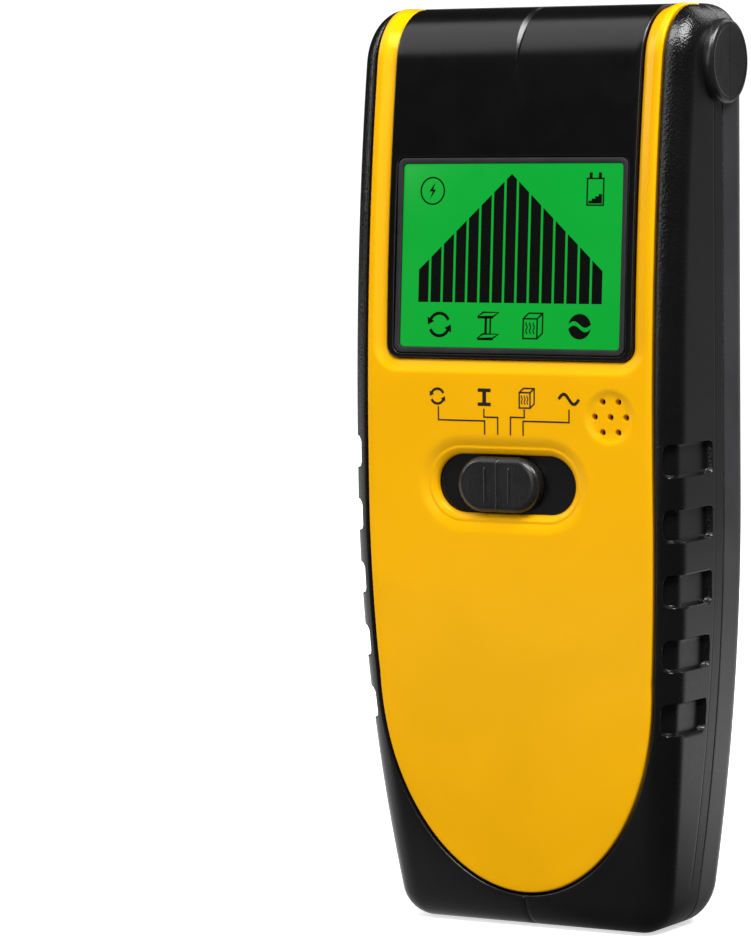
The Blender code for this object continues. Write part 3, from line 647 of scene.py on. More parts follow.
class Nodes:
    """A small helper that wires a procedural material."""

    def __init__(self, name, colour, roughness, metallic=0.0, specular=0.5):
        self.name = name
        self.material = bpy.data.materials.new(name)
        self.material.use_nodes = True
        self.tree = self.material.node_tree
        self.shader = self.tree.nodes["Principled BSDF"]
        self.set("Base Color", (*colour, 1.0))
        self.set("Roughness", roughness)
        self.set("Metallic", metallic)
        self.set("Specular IOR Level", specular)
        self.colour = colour
        self.place = self.tree.nodes.new("ShaderNodeTexCoord").outputs["Object"]

    def set(self, socket, value):
        self.shader.inputs[socket].default_value = value

    def new(self, kind):
        return self.tree.nodes.new(f"ShaderNode{kind}")

    def link(self, output, node, socket):
        self.tree.links.new(output, node.inputs[socket])

    def drive(self, socket, output):
        self.link(output, self.shader, socket)

    def axes(self, vector=None):
        """The X, Y and Z outputs of a vector, or of the object coordinates."""
        node = self.new("SeparateXYZ")
        self.link(vector or self.place, node, "Vector")
        return [node.outputs[axis] for axis in "XYZ"]

    def stretched(self, scale):
        """Object coordinates, scaled differently along each axis."""
        node = self.new("Mapping")
        node.inputs["Scale"].default_value = scale
        self.link(self.place, node, "Vector")
        return node.outputs["Vector"]

    def noise(self, size, detail=3.0, roughness=0.55, distortion=0.0, vector=None):
        """Cloudy variation with features of this size in millimetres."""
        node = self.new("TexNoise")
        node.inputs["Scale"].default_value = 1.0 / (size * MM)
        node.inputs["Detail"].default_value = detail
        node.inputs["Roughness"].default_value = roughness
        node.inputs["Distortion"].default_value = distortion
        self.link(vector or self.place, node, "Vector")
        return node.outputs["Fac"]

    def cells(self, size, feature="SMOOTH_F1"):
        node = self.new("TexVoronoi")
        node.feature = feature
        node.inputs["Scale"].default_value = 1.0 / (size * MM)
        self.link(self.place, node, "Vector")
        return node.outputs["Distance"]

    def wave(self, size, direction="X"):
        node = self.new("TexWave")
        node.bands_direction = direction
        node.inputs["Scale"].default_value = 1.0 / (size * MM)
        self.link(self.place, node, "Vector")
        return node.outputs["Fac"]

    def ramp(self, source, low, high, start=0.35, end=0.65):
        """A value from low to high, as source goes from start to end."""
        node = self.new("MapRange")
        settings = {"From Min": start, "From Max": end, "To Min": low, "To Max": high}
        for socket, value in settings.items():
            node.inputs[socket].default_value = value
        self.link(source, node, "Value")
        return node.outputs["Result"]

    def math(self, operation, first, second):
        node = self.new("Math")
        node.operation = operation
        for i, value in enumerate((first, second)):
            if isinstance(value, float):
                node.inputs[i].default_value = value
            else:
                self.link(value, node, i)
        return node.outputs[0]

    def product(self, first, second):
        return self.math("MULTIPLY", first, second)

    def mix(self, factor, first, second):
        node = self.new("Mix")
        node.data_type = "RGBA"
        self.link(factor, node, 0)
        for socket, value in ((6, first), (7, second)):
            if isinstance(value, tuple):
                node.inputs[socket].default_value = (*value, 1.0)
            else:
                self.link(value, node, socket)
        return node.outputs[2]

    def vary_colour(self, source, darker, lighter, start=0.35, end=0.65):
        """Base colour from darker to lighter multiples of the main one."""
        factor = self.ramp(source, 0.0, 1.0, start, end)
        first = tuple(c * darker for c in self.colour)
        second = tuple(min(1.0, c * lighter) for c in self.colour)
        self.drive("Base Color", self.mix(factor, first, second))

    def vary_roughness(self, source, low, high, start=0.35, end=0.65):
        self.drive("Roughness", self.ramp(source, low, high, start, end))

    def bump(self, source, height, strength=1.0):
        """Relief of this height in millimetres."""
        node = self.new("Bump")
        node.inputs["Distance"].default_value = height * MM
        node.inputs["Strength"].default_value = strength
        self.link(source, node, "Height")
        self.drive("Normal", node.outputs["Normal"])

    def worn_grip(self):
        """1 near the top of the body, less where the hand has worn the grain smooth."""
        return self.ramp(self.axes()[2], 0.40, 1.0, 0.080, 0.140)

    def side_mask(self):
        """1 where the surface faces sideways, 0 where it faces front, back, up or down."""
        facing = self.axes(self.new("NewGeometry").outputs["True Normal"])[0]
        return self.ramp(self.math("ABSOLUTE", facing, 0.0), 0.0, 1.0, 0.9, 0.995)


def satin(name, colour, roughness, tone, rough, relief, specular=0.5, metallic=0.0, grain=None):
    """A finish with uneven tone, uneven roughness and a fine relief, each led by a noise.

    Each noise is given as (size, detail, distortion), and then as two values: the darker and
    the lighter multiple of the colour, the lower and the higher roughness, or the relief's
    height and strength. grain draws the last two noises out along an axis.
    """
    nodes = Nodes(name, colour, roughness, metallic, specular)
    drawn = nodes.stretched(grain) if grain else None
    uses = (
        (nodes.vary_colour, tone, None),
        (nodes.vary_roughness, rough, drawn),
        (nodes.bump, relief, drawn),
    )
    for use, (size, detail, distortion, first, second), vector in uses:
        use(nodes.noise(size, detail, distortion=distortion, vector=vector), first, second)
    return nodes


def black_abs(name, colour):
    """Moulded shell: a spark-eroded grain that is finer on the flat sides."""
    nodes = Nodes(name, colour, 0.3, specular=0.4)
    grain = nodes.noise(0.42, detail=1.0, roughness=0.5)
    side = nodes.side_mask()
    calm = nodes.product(nodes.ramp(side, 1.0, 0.12, 0.0, 1.0), nodes.worn_grip())
    relief = nodes.product(nodes.math("ADD", grain, nodes.cells(0.40)), calm)
    nodes.bump(relief, 0.060, 0.9)
    nodes.vary_colour(nodes.noise(14.0, detail=2.0), 0.85, 1.2)
    satin_side = nodes.ramp(side, 0.0, 0.10, 0.0, 1.0)
    nodes.drive("Roughness", nodes.math("ADD", nodes.ramp(grain, 0.18, 0.26), satin_side))
    return nodes


def smooth_black():
    """The same plastic from a polished mould, with faint rubbing marks from the thumb. Its base
    colour is about three times lighter than the shell's black: painted sheen.
    """
    rubbed = (0.5, 3.0, 0.0)
    # base colour lifted above the shell's black: painted sheen on the knob and the discs
    return satin(
        "smooth_black", (0.011, 0.011, 0.0115), 0.25, (5.0, 3.0, 0.0, 0.85, 1.2),
        (*rubbed, 0.20, 0.30), (*rubbed, 0.003, 0.4), specular=0.42, grain=(1.0, 1.0, 0.12),
    )


def yellow_abs():
    """Satin moulded cover with a faint flow pattern."""
    nodes = satin(
        "yellow_abs", (0.80, 0.388, 0.0012), 0.24, (38.0, 2.0, 0.6, 0.96, 1.03),
        (5.0, 3.0, 0.0, 0.21, 0.26), (0.3, 2.0, 0.0, 0.006, 0.4), specular=0.36,
    )
    nodes.set("Specular Tint", (1.0, 0.95, 0.22, 1.0))
    return nodes


def gloss_black():
    """Polished window with faint polishing marks and dust."""
    return satin(
        "gloss_black", (0.0016, 0.0013, 0.0015), 0.22, (20.0, 3.0, 0.0, 0.95, 1.08),
        (9.0, 4.0, 1.0, 0.22, 0.25), (8.0, 1.0, 0.0, 0.002, 0.2), specular=0.45,
    )


def frame_grey():
    fine = (0.25, 2.0, 0.0)
    return satin(
        "frame_grey", (0.014, 0.014, 0.016), 0.5, (6.0, 3.0, 0.0, 0.85, 1.2),
        (*fine, 0.42, 0.58), (*fine, 0.01, 0.6), specular=0.3,
    )


def lcd_green():
    """Backlit display: even green light that is slightly cloudy."""
    nodes = satin(
        "lcd_green", (0.001, 0.02, 0.003), 0.25, (0.2, 3.0, 0.0, 0.9, 1.1),
        (8.0, 3.0, 0.0, 0.22, 0.3), (0.15, 3.0, 0.0, 0.002, 0.3), specular=0.08,
    )
    cloud = nodes.ramp(nodes.noise(26.0, detail=1.0), 0.0, 1.0)
    nodes.drive("Emission Color", nodes.mix(cloud, (0.0032, 0.400, 0.034), (0.0042, 0.425, 0.038)))
    nodes.set("Emission Strength", 0.93)
    return nodes


def ink(name, colour, specular):
    fine = (0.2, 3.0, 0.0)
    relief = (*fine, 0.004, 0.4)
    return satin(name, colour, 0.45, (*fine, 0.8, 1.3), (*fine, 0.38, 0.55), relief, specular)


def milky():
    """Light guide that lets some light into itself."""
    nodes = satin(
        "milky", (0.75, 0.78, 0.74), 0.45, (4.0, 3.0, 0.0, 0.93, 1.03),
        (1.5, 3.0, 0.0, 0.4, 0.52), (0.4, 3.0, 0.0, 0.01, 0.4),
    )
    nodes.set("Subsurface Weight", 0.25)
    nodes.set("Subsurface Radius", (0.004, 0.004, 0.004))
    return nodes


def board_green():
    """Solder mask over copper tracks."""
    nodes = Nodes("board_green", (0.010, 0.11, 0.035), 0.4)
    lines = nodes.ramp(nodes.cells(2.4, feature="DISTANCE_TO_EDGE"), 1.0, 0.0, 0.05, 0.09)
    nodes.drive("Base Color", nodes.mix(lines, (0.008, 0.085, 0.028), (0.020, 0.17, 0.055)))
    nodes.bump(lines, 0.03, 0.7)
    nodes.vary_roughness(nodes.noise(3.0), 0.34, 0.48)
    return nodes


def speckled(name, colour, roughness, size, detail, tone, rough, relief):
    """A finish whose tone, roughness and relief all follow the same fine grain."""
    fine = (size, detail, 0.0)
    return satin(name, colour, roughness, (*fine, *tone), (*fine, *rough), (*fine, *relief))


def metal(name, colour, low, high, size):
    tone = (3.0, 3.0, 0.0, 0.88, 1.05)
    fine = (size, 3.0, 0.0)
    relief = (*fine, 0.01, 0.5)
    return satin(name, colour, low, tone, (*fine, low, high), relief, metallic=1.0)


def copper():
    """Windings of enamelled wire round the coil's axis, with painted shade in the grooves between the
    turns.
    """
    nodes = Nodes("copper", (0.80, 0.36, 0.16), 0.3, metallic=1.0)
    turns = nodes.wave(2.2, direction="Y")
    nodes.bump(turns, 0.08, 0.8)
    # darker where the bump is low: painted shade in the grooves between the turns
    nodes.vary_colour(turns, 0.6, 1.0, 0.1, 0.7)
    nodes.vary_roughness(nodes.noise(1.0), 0.25, 0.38)
    return nodes


def foam():
    """Open pores, darkened inside as painted shade."""
    nodes = Nodes("foam", (0.05, 0.05, 0.055), 0.95, specular=0.1)
    pores = nodes.cells(0.45)
    # darker where the bump dents in: painted shade inside the pores
    nodes.vary_colour(pores, 0.5, 1.3, 0.1, 0.7)
    nodes.vary_roughness(pores, 0.85, 1.0)
    nodes.bump(pores, 0.15, 1.0)
    return nodes


def lead(name, colour):
    """Insulation of a thin wire."""
    tone, rough = (1.8, 3.0, 0.0, 0.85, 1.12), (0.6, 3.0, 0.0, 0.36, 0.5)
    return satin(name, colour, 0.42, tone, rough, (0.35, 3.0, 0.0, 0.012, 0.5))


def battery_jacket():
    """Printed metal jacket: a silver part and a green part with fine lines, and no lettering."""
    nodes = Nodes("battery_jacket", (0.55, 0.56, 0.57), 0.3, metallic=0.8)
    x, _, z = nodes.axes()
    low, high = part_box("battery")
    middle = low.z + 0.55 * (high.z - low.z)
    slant = nodes.math("ADD", z, nodes.product(x, 0.6))
    lower = nodes.ramp(slant, 1.0, 0.0, middle, middle + 0.4 * MM)
    stripes = nodes.ramp(nodes.wave(4.5), 0.0, 1.0, 0.86, 0.9)
    green = nodes.mix(stripes, (0.004, 0.17, 0.06), (0.002, 0.03, 0.012))
    nodes.drive("Base Color", nodes.mix(lower, (0.62, 0.63, 0.64), green))
    brushed = nodes.noise(2.0, vector=nodes.stretched((8.0, 8.0, 1.0)))
    nodes.vary_roughness(brushed, 0.24, 0.36)
    nodes.bump(nodes.noise(1.2), 0.01, 0.4)
    return nodes


def trimmer_blue():
    tone, fine = (2.0, 3.0, 0.0, 0.88, 1.1), (0.3, 3.0, 0.0)
    rough, relief = (*fine, 0.36, 0.5), (*fine, 0.01, 0.5)
    return satin("trimmer_blue", (0.02, 0.08, 0.45), 0.42, tone, rough, relief)


DARK_BODY = ((0.8, 1.3), (0.45, 0.62), (0.012, 0.7))
SINTERED = ((0.75, 1.25), (0.55, 0.75), (0.03, 0.8))
FINISHES = (
    black_abs("black_abs", (0.0036, 0.0036, 0.0040)),
    black_abs("rear_abs", (0.024, 0.024, 0.026)),
    smooth_black(),
    yellow_abs(),
    gloss_black(),
    frame_grey(),
    lcd_green(),
    milky(),
    board_green(),
    speckled("chip_black", (0.012, 0.012, 0.012), 0.5, 0.12, 2.0, *DARK_BODY),
    metal("tin", (0.62, 0.62, 0.60), 0.28, 0.42, 0.5),
    copper(),
    speckled("ferrite", (0.035, 0.035, 0.038), 0.6, 0.25, 4.0, *SINTERED),
    foam(),
    lead("red_lead", (0.50, 0.012, 0.010)),
    lead("black_lead", (0.012, 0.012, 0.012)),
    battery_jacket(),
    metal("steel", (0.50, 0.50, 0.50), 0.26, 0.42, 0.4),
    trimmer_blue(),
    ink("print_ink", (0.010, 0.006, 0.006), 0.25),
    ink("lcd_ink", (0.001, 0.0015, 0.001), 0.08),
)
MATERIALS = {nodes.name: nodes.material for nodes in FINISHES}


# ---- face plate ----


def plate_edge(grow=0.0):
    """The plate's edge from the upper left, down round its toe and up to the upper right."""
    turns = np.linspace(0.0, math.pi / 2, 46)
    toe_x = (TOE_HALF_WIDTH + grow) * np.sin(turns)
    toe_level = TOE_CENTRE - (TOE_HALF_HEIGHT + grow) * np.cos(turns)
    levels = np.linspace(TOE_CENTRE + 2.0, BULGE_LEVEL, 24)
    side_x = half_width(levels) - PLATE_MARGIN + grow
    x, level = np.append(toe_x, side_x), np.append(toe_level, levels)
    right = locate("front", np.column_stack([x, level]))
    right[0, 0] = 0.0
    right = np.vstack([right, [[right[-1, 0], TOP["front"] - SEAM_GAP]]])
    left = right[:0:-1] * (-1.0, 1.0)
    return resample(np.vstack([left, right]), FINE)


def window_edge(grow=0.0):
    """The window's edge from the upper right, down, along its bottom and up to the upper left."""
    side, low, radius = WINDOW_HALF_WIDTH + grow, WINDOW_BOTTOM - grow, WINDOW_CORNER + grow
    right = arc(side - radius, low + radius, radius, 270, 360)[::-1]
    left = arc(-side + radius, low + radius, radius, 180, 270)[::-1]
    bottom = locate("front", np.vstack([right, left]))
    top = TOP["front"] - SEAM_GAP
    return resample(np.vstack([[[side, top]], bottom, [[-side, top]]]), FINE)


def grille_points():
    """One hole in the middle and six round it."""
    turns = [math.radians(60 * i) for i in range(6)]
    ring = [(GRILLE_PITCH * math.cos(turn), GRILLE_PITCH * math.sin(turn)) for turn in turns]
    return [(GRILLE_X + x, GRILLE_LEVEL + z) for x, z in [(0.0, 0.0)] + ring]


def face_plate():
    edge = plate_edge()
    window = window_edge(WINDOW_GAP)
    outer = resample(np.vstack([edge, window, edge[:1]]), FINE)[:-1]
    slot = slot_outline(SLOT_CENTRE, SLOT_LEVEL, SLOT_HALF_LENGTH, SLOT_HALF_HEIGHT)
    slot = resample(locate("front", slot), FINE, closed=True)
    holes = [locate("front", circle(x, z, GRILLE_HOLE)) for x, z in grille_points()]
    centre = locate("front", [[GRILLE_X, GRILLE_LEVEL]])[0]
    lines = beside(edge, round_steps(PLATE_ROUND)) + beside(window, BEVEL_STEPS)
    lines += around(slot, (*round_steps(SLOT_ROUND), *DISH_STEPS))
    for hole in holes:
        lines += around(hole, (0.07, GRILLE_ROUND, 0.3))
    for step in (-0.9, -0.45, 0.0, 0.4):
        lines.append((circle(*centre, GRILLE_DISH + step, steps=60), True))
    corners, faces = fill([outer, slot, *holes], lines)

    to_window = distance_to(corners, window)
    to_slot = distance_to(corners, slot, closed=True)
    from_centre = np.hypot(*(corners - centre).T)
    depth = rounded_edge(corners, edge, PLATE_ROUND, closed=False)
    depth += BEVEL_DEPTH * (1 - soft_ramp(to_window / BEVEL_WIDTH, BEVEL_SOFTNESS))
    depth += round_over(to_window, BEVEL_ROUND)
    depth += dish_depth(to_slot)
    depth += round_over(to_slot, SLOT_ROUND)
    for hole in holes:
        depth += rounded_edge(corners, hole, GRILLE_ROUND)
    outwards = (from_centre - GRILLE_DISH + GRILLE_SLOPE_START) / GRILLE_SLOPE
    depth += GRILLE_DEPTH * (1 - ease(outwards))
    shape = Shape()
    shape.skin(*body_sheet("front", corners, faces, depth, PLATE, 0.3))
    shape.piece("plate_cover", ["yellow_abs"], "case", ["face_plate"])


def dish_depth(away):
    """Depth round the slot: a slope up to a low crest, a crease, then a slope up to the face."""
    flank = ease((away - LIP_CREST) / (DISH_CREASE - LIP_CREST))
    lip = LIP_DEPTH + (DISH_DEPTH - LIP_DEPTH) * flank
    lip += SLOT_DROP * np.clip(1 - away / LIP_CREST, 0.0, 1.0) ** 1.2
    share = np.clip((away - DISH_CREASE) / (DISH_RIM - DISH_CREASE), 0.0, 1.0)
    return np.where(away < DISH_CREASE, lip, DISH_DEPTH * (1 - share) ** 1.6)


# ---- display ----


def notch_half_width(along, start, end):
    share = np.clip((along - start) / (end - start), 0.0, 1.0)
    return NOTCH_HALF_WIDTH * np.sin(math.pi * share) ** 0.8


def display_window():
    edge = window_edge()[::-1]
    opening = lcd_rectangle(BEZEL + OPENING_GAP, OPENING_CORNER, steps=8)
    opening[:, 1] = LCD_LEVEL + opening[:, 1] * math.cos(LCD_TILT)
    opening = resample(locate("front", opening), FINE, closed=True)
    start = locate("front", [[0.0, NOTCH_START]])[0, 1]
    end = TOP["front"] - NOTCH_END
    along = np.linspace(start, end, 40)
    reach = notch_half_width(along, start, end)
    lines = beside(edge, round_steps(WINDOW_ROUND)) + around(opening, (0.05, 0.14, OPENING_ROUND))
    for share in (-1.0, -0.5, 0.0, NOTCH_CREST, 1.0):
        lines.append((np.column_stack([reach * share, along])[1:-1], False))
    upper_seam = (TOP["front"] - SEAM_GAP, -1)
    lines += seam_lines(edge[0, 0] + 0.4, edge[-1, 0] - 0.4, [upper_seam])
    corners, faces = fill([resample(edge, FINE, closed=True), opening], lines)

    depth = WINDOW_DEPTH + rounded_edge(corners, edge, WINDOW_ROUND, closed=False)
    depth += seam_rounding("front", corners[:, 1])
    depth += rounded_edge(corners, opening, OPENING_ROUND)
    width = np.maximum(notch_half_width(corners[:, 1], start, end), 1e-6)
    across = np.clip(corners[:, 0] / width, -1.0, 1.0)  # from the gentle wall to the steep one
    shaped = np.minimum((1 + across) / (1 + NOTCH_CREST), (1 - across) / (1 - NOTCH_CREST))
    depth += NOTCH_DEPTH * shaped * width / NOTCH_HALF_WIDTH
    shape = Shape()
    shape.skin(*body_sheet("front", corners, faces, depth, PLATE - 0.1, 0.2))
    shape.piece("window_cover", ["gloss_black"], "case", ["display_window"])


def lcd_rectangle(grow, radius, steps=10):
    half_x, half_z = LCD_HALF_WIDTH + grow, LCD_HALF_HEIGHT + grow
    return rounded_rectangle(-half_x, half_x, -half_z, half_z, radius, steps)


def display_frame():
    """The grey frame round the display, as a closed ring with rounded edges."""
    outer, inner = OPENING_CORNER, LCD_CORNER
    sections = (
        (BEZEL, LCD_BASE, outer),
        (BEZEL, BEZEL_DEPTH + 0.2, outer),
        (BEZEL - 0.06, BEZEL_DEPTH + 0.06, outer - 0.05),
        (BEZEL - 0.2, BEZEL_DEPTH, outer - 0.2),
        (0.2, BEZEL_DEPTH, inner + 0.15),
        (0.06, BEZEL_DEPTH + 0.06, inner + 0.05),
        (0.0, BEZEL_DEPTH + 0.2, inner),
        (0.0, LCD_BASE, inner),
    )
    shape = Shape()
    shape.ring([lcd_point(lcd_rectangle(grow, radius), depth) for grow, depth, radius in sections])
    shape.piece("display_frame", ["frame_grey"], "case", ["lcd_bezel"], merge=0.001)


def display_glass():
    sections = ((-0.06, LCD_BASE - 0.1), (-0.06, GLASS_DEPTH + 0.08), (-0.14, GLASS_DEPTH))
    shape = Shape()
    shape.loft([lcd_point(lcd_rectangle(grow, LCD_CORNER), depth) for grow, depth in sections])
    shape.piece("display_glass", ["lcd_green"], "case", ["lcd_glass"])


# ---- printed marks ----


def stroke(path, width, closed=False):
    """Quads that follow a path with an even width, as a list of four-cornered outlines."""
    path = np.asarray(path, float)
    left = offset(path, width / 2, closed)
    right = offset(path, -width / 2, closed)
    quads = []
    for i in range(len(path) if closed else len(path) - 1):
        j = (i + 1) % len(path)
        quads.append(np.array([right[i], right[j], left[j], left[i]]))
    return quads


def cycle_icon(x, z, size, pen):
    """Two arrows that chase each other round a circle."""
    shapes = []
    for start in (25.0, 205.0):
        end = start + 125.0
        shapes += stroke(arc(x, z, size / 2, start, end), pen)
        tip = math.radians(end)
        reach = np.array([math.cos(tip), math.sin(tip)]) * size
        ahead = np.array([-math.sin(tip), math.cos(tip)]) * size
        base = np.array([x, z]) + reach / 2
        shapes.append(np.array([base + 0.2 * reach, base + 0.3 * ahead, base - 0.2 * reach]))
    return shapes


def beam_icon(x, z, size, pen):
    """An I-beam seen from its end."""
    half, wide, thick = size / 2, size * 0.42, pen * 1.6
    return [
        outline_box(x - wide, x + wide, z + half - thick, z + half),
        outline_box(x - wide, x + wide, z - half, z - half + thick),
        outline_box(x - pen, x + pen, z - half + thick, z + half - thick),
    ]


def solid_beam_icon(x, z, size, pen):
    """A length of I-beam drawn in perspective."""
    lean, wide, thick = 0.12 * size, 0.34 * size, 0.16 * size
    near_left, near_right = x - wide - lean, x + wide - lean
    far_right, far_left = x + wide + lean, x - wide + lean
    shapes = []
    for low in (z - size / 2, z + size / 2 - thick):
        high, under = low + thick, low - pen * 0.7
        flange = [[near_left, low], [near_right, low], [far_right, high], [far_left, high]]
        shapes += stroke(flange, pen, closed=True)
        shapes += stroke([[near_left, under], [near_right, under]], pen)
    web = size / 2 - thick
    for at, width in ((x - 0.1 * size, pen * 1.5), (x + 0.1 * size, pen)):
        shapes += stroke([[at, z - web], [at, z + web]], width)
    return shapes


def block_icon(x, z, size, pen):
    """A block of wood with three lines of grain."""
    left, right = x - 0.42 * size, x + 0.2 * size
    front = outline_box(left, right, z - size / 2, z + 0.28 * size)
    shift = np.array([0.24, 0.22]) * size
    shapes = stroke(front, pen, closed=True)
    shapes += stroke(front[[3, 2, 1]] + shift, pen)
    for corner in front[[3, 2, 1]]:
        shapes += stroke([corner, corner + shift], pen)
    for k in (-0.27, -0.11, 0.05):
        steps = np.linspace(-0.32, 0.14, 7)
        wavy = [[x + (k + 0.035 * math.sin(9 + 22 * s)) * size, z + s * size] for s in steps]
        shapes += stroke(wavy, pen * 0.75)
    return shapes


def wave_icon(x, z, size, pen):
    """One cycle of a wave."""
    share = np.linspace(0.0, 1.0, 15)
    rise = 0.22 * size * np.sin(2 * math.pi * share)
    return stroke(np.column_stack([x + (share - 0.5) * size, z + rise]), pen * 1.3)


def wave_disc_icon(x, z, size):
    """A disc crossed by a clear wave: its upper and lower parts are dark."""
    shapes = []
    radius, gap = size / 2, 0.085 * size
    steps = np.linspace(-0.97, 0.97, 19)

    def wave(s):
        return -0.25 * radius * math.sin(math.pi * s)

    for sign in (1, -1):
        for first, second in zip(steps[:-1], steps[1:]):
            quad = []
            for s, rim in ((first, False), (second, False), (second, True), (first, True)):
                inner = wave(s) + sign * gap
                outer = sign * radius * math.sqrt(1 - s * s)
                reach = max(outer, inner) if sign > 0 else min(outer, inner)
                quad.append([x + s * radius, z + (reach if rim else inner)])
            if abs(quad[2][1] - quad[1][1]) + abs(quad[3][1] - quad[0][1]) > 0.02:
                shapes.append(np.array(quad))
    return shapes


def bolt_icon(x, z, size, pen):
    """A bolt inside a ring."""
    bolt = [[0.1, 0.3], [-0.14, -0.02], [0.0, -0.02], [-0.1, -0.3], [0.14, 0.05], [0.02, 0.05]]
    bolt = np.array(bolt) * size + (x, z)
    ring = stroke(circle(x, z, size / 2, 30), pen, closed=True)
    return [bolt[[0, 1, 2, 5]], bolt[[5, 2, 3, 4]]] + ring


def cell_icon(x, z, pen):
    """An upright battery with two terminals and a stepped charge mark."""
    half_wide, low, high, step = 1.75, z - 2.75, z + 2.75, 0.72
    outline = outline_box(x - half_wide, x + half_wide, low, high - 0.4)
    shapes = stroke(outline, pen, closed=True)
    for middle in (x - 1.0, x + 1.0):
        shapes.append(outline_box(middle - 0.32, middle + 0.32, high - 0.35, high + 0.75))
    for k in range(4):
        left = x - 1.45 + step * k
        shapes.append(outline_box(left, left + step, low + 0.3, low + 0.85 + 0.42 * k))
    return shapes


def bar_graph():
    """Fifteen bars with sloping tops, tallest in the middle."""
    pitch, half, last = 2.72, 1.1, 7
    outer_height, rise = 6.3, 18.6

    def top(at):
        height = outer_height + rise * (1 - abs(at) / (last * pitch + half))
        return [at, BARS_BASE + height]

    shapes = []
    for k in range(-last, last + 1):
        left, right = k * pitch - half, k * pitch + half
        peak = [top(0.0)] if k == 0 else []
        shapes.append(np.array([[left, BARS_BASE], [right, BARS_BASE], top(right), *peak, top(left)]))
    return shapes


def display_marks():
    """The dark segments of the display, just in front of its glass."""
    shapes = bar_graph()
    shapes += cycle_icon(-15.3, ICON_ROW, 4.4, 0.62)
    shapes += solid_beam_icon(-4.5, ICON_ROW, 5.0, 0.34)
    shapes += block_icon(5.3, ICON_ROW, 4.9, 0.3)
    shapes += wave_disc_icon(15.5, ICON_ROW, 4.9)
    shapes += bolt_icon(-17.5, TOP_ICONS, 5.2, 0.3)
    shapes += cell_icon(18.2, TOP_ICONS, 0.3)
    shape = Shape()
    for outline in shapes:
        shape.loft([lcd_point(outline, GLASS_DEPTH + step) for step in (0.02, -0.05)])
    shape.piece("display_marks", ["lcd_ink"], "case")


def printed_marks():
    """Leader lines from the switch's four places to a symbol for each mode."""
    shapes = []
    for path in LEADERS:
        for start, end in zip(path[:-1], path[1:]):
            run = np.array(end) - np.array(start)
            ahead = run / np.hypot(*run) * LEADER_WIDTH / 2
            shapes += stroke(resample([start - ahead, end + ahead], 2.0), LEADER_WIDTH)
    shapes += cycle_icon(-15.3, MODE_LEVEL, 2.9, 0.5)
    shapes += beam_icon(-4.9, MODE_LEVEL, 3.4, 0.42)
    shapes += block_icon(4.4, MODE_LEVEL, 3.8, 0.3)
    shapes += wave_icon(13.6, MODE_LEVEL, 4.4, 0.46)
    shape = Shape()
    for outline in shapes:
        across, along = locate("front", outline).T
        shape.loft([place("front", across, along, depth) for depth in (0.1, -0.035)])
    shape.piece("printed_marks", ["print_ink"], "case")


# ---- shells ----


def graded(start, stop, spacing, marks=(), fine=0.14, spread=0.8):
    """Values from start to stop, closer together round each mark."""
    values = [start]
    while values[-1] < stop - 1e-6:
        near = min([abs(values[-1] - m) for m in marks] or [99.0])
        step = fine if near < spread * 0.6 else min(spacing, fine + 0.5 * (near - spread * 0.6))
        values.append(min(stop, values[-1] + max(step, fine)))
    if values[-1] - values[-2] < fine * 0.5:
        values.pop(-2)
    return np.array(values)


def box_distance(across, level, low, high, radii):
    """Signed distance to a rounded rectangle, above zero inside. radii: (near low, near high)."""
    middle = (np.array(low) + np.array(high)) / 2
    half = (np.array(high) - np.array(low)) / 2
    dx, dz = across - middle[0], level - middle[1]
    radius = np.where(dx < 0, radii[0], radii[1])
    qx, qz = np.abs(dx) - half[0] + radius, np.abs(dz) - half[1] + radius
    outside = np.hypot(np.maximum(qx, 0.0), np.maximum(qz, 0.0))
    return -(outside + np.minimum(np.maximum(qx, qz), 0.0) - radius)


def patch_rows(half):
    """along values of a side patch's rows, closer together at the pockets' edges."""
    start, stop = SEAM_GAP, TOP[half] - SEAM_GAP
    marks = [start, stop]
    if half == "front":
        centres = [(level, POCKET_HALF_HEIGHT) for level in POCKET_LEVELS]
        centres.append((SCAN_LEVEL, SCAN_HALF_HEIGHT))
        edges = [[0.0, level + way * reach] for level, reach in centres for way in SIDES]
        marks += locate("front", edges)[:, 1].tolist()
    return graded(start, stop, ROW_STEP, marks)


def side_shares(half, corner_y, seam):
    """Shares of the way from the turned edge to the seam where the side's columns stand."""
    if half == "front":
        marks = (POCKET_BACK, CREASE_Y, SCAN_Y - SCAN_HALF_DEPTH, SCAN_Y + SCAN_HALF_DEPTH, seam)
        start = float(np.min(corner_y))
        shares = (graded(start, seam, SIDE_STEP, marks) - start) / (seam - start)
    else:
        start = float(np.max(corner_y))
        shares = (start - graded(seam, start, SIDE_STEP, (seam,))[::-1]) / (start - seam)
    return shares[1:]


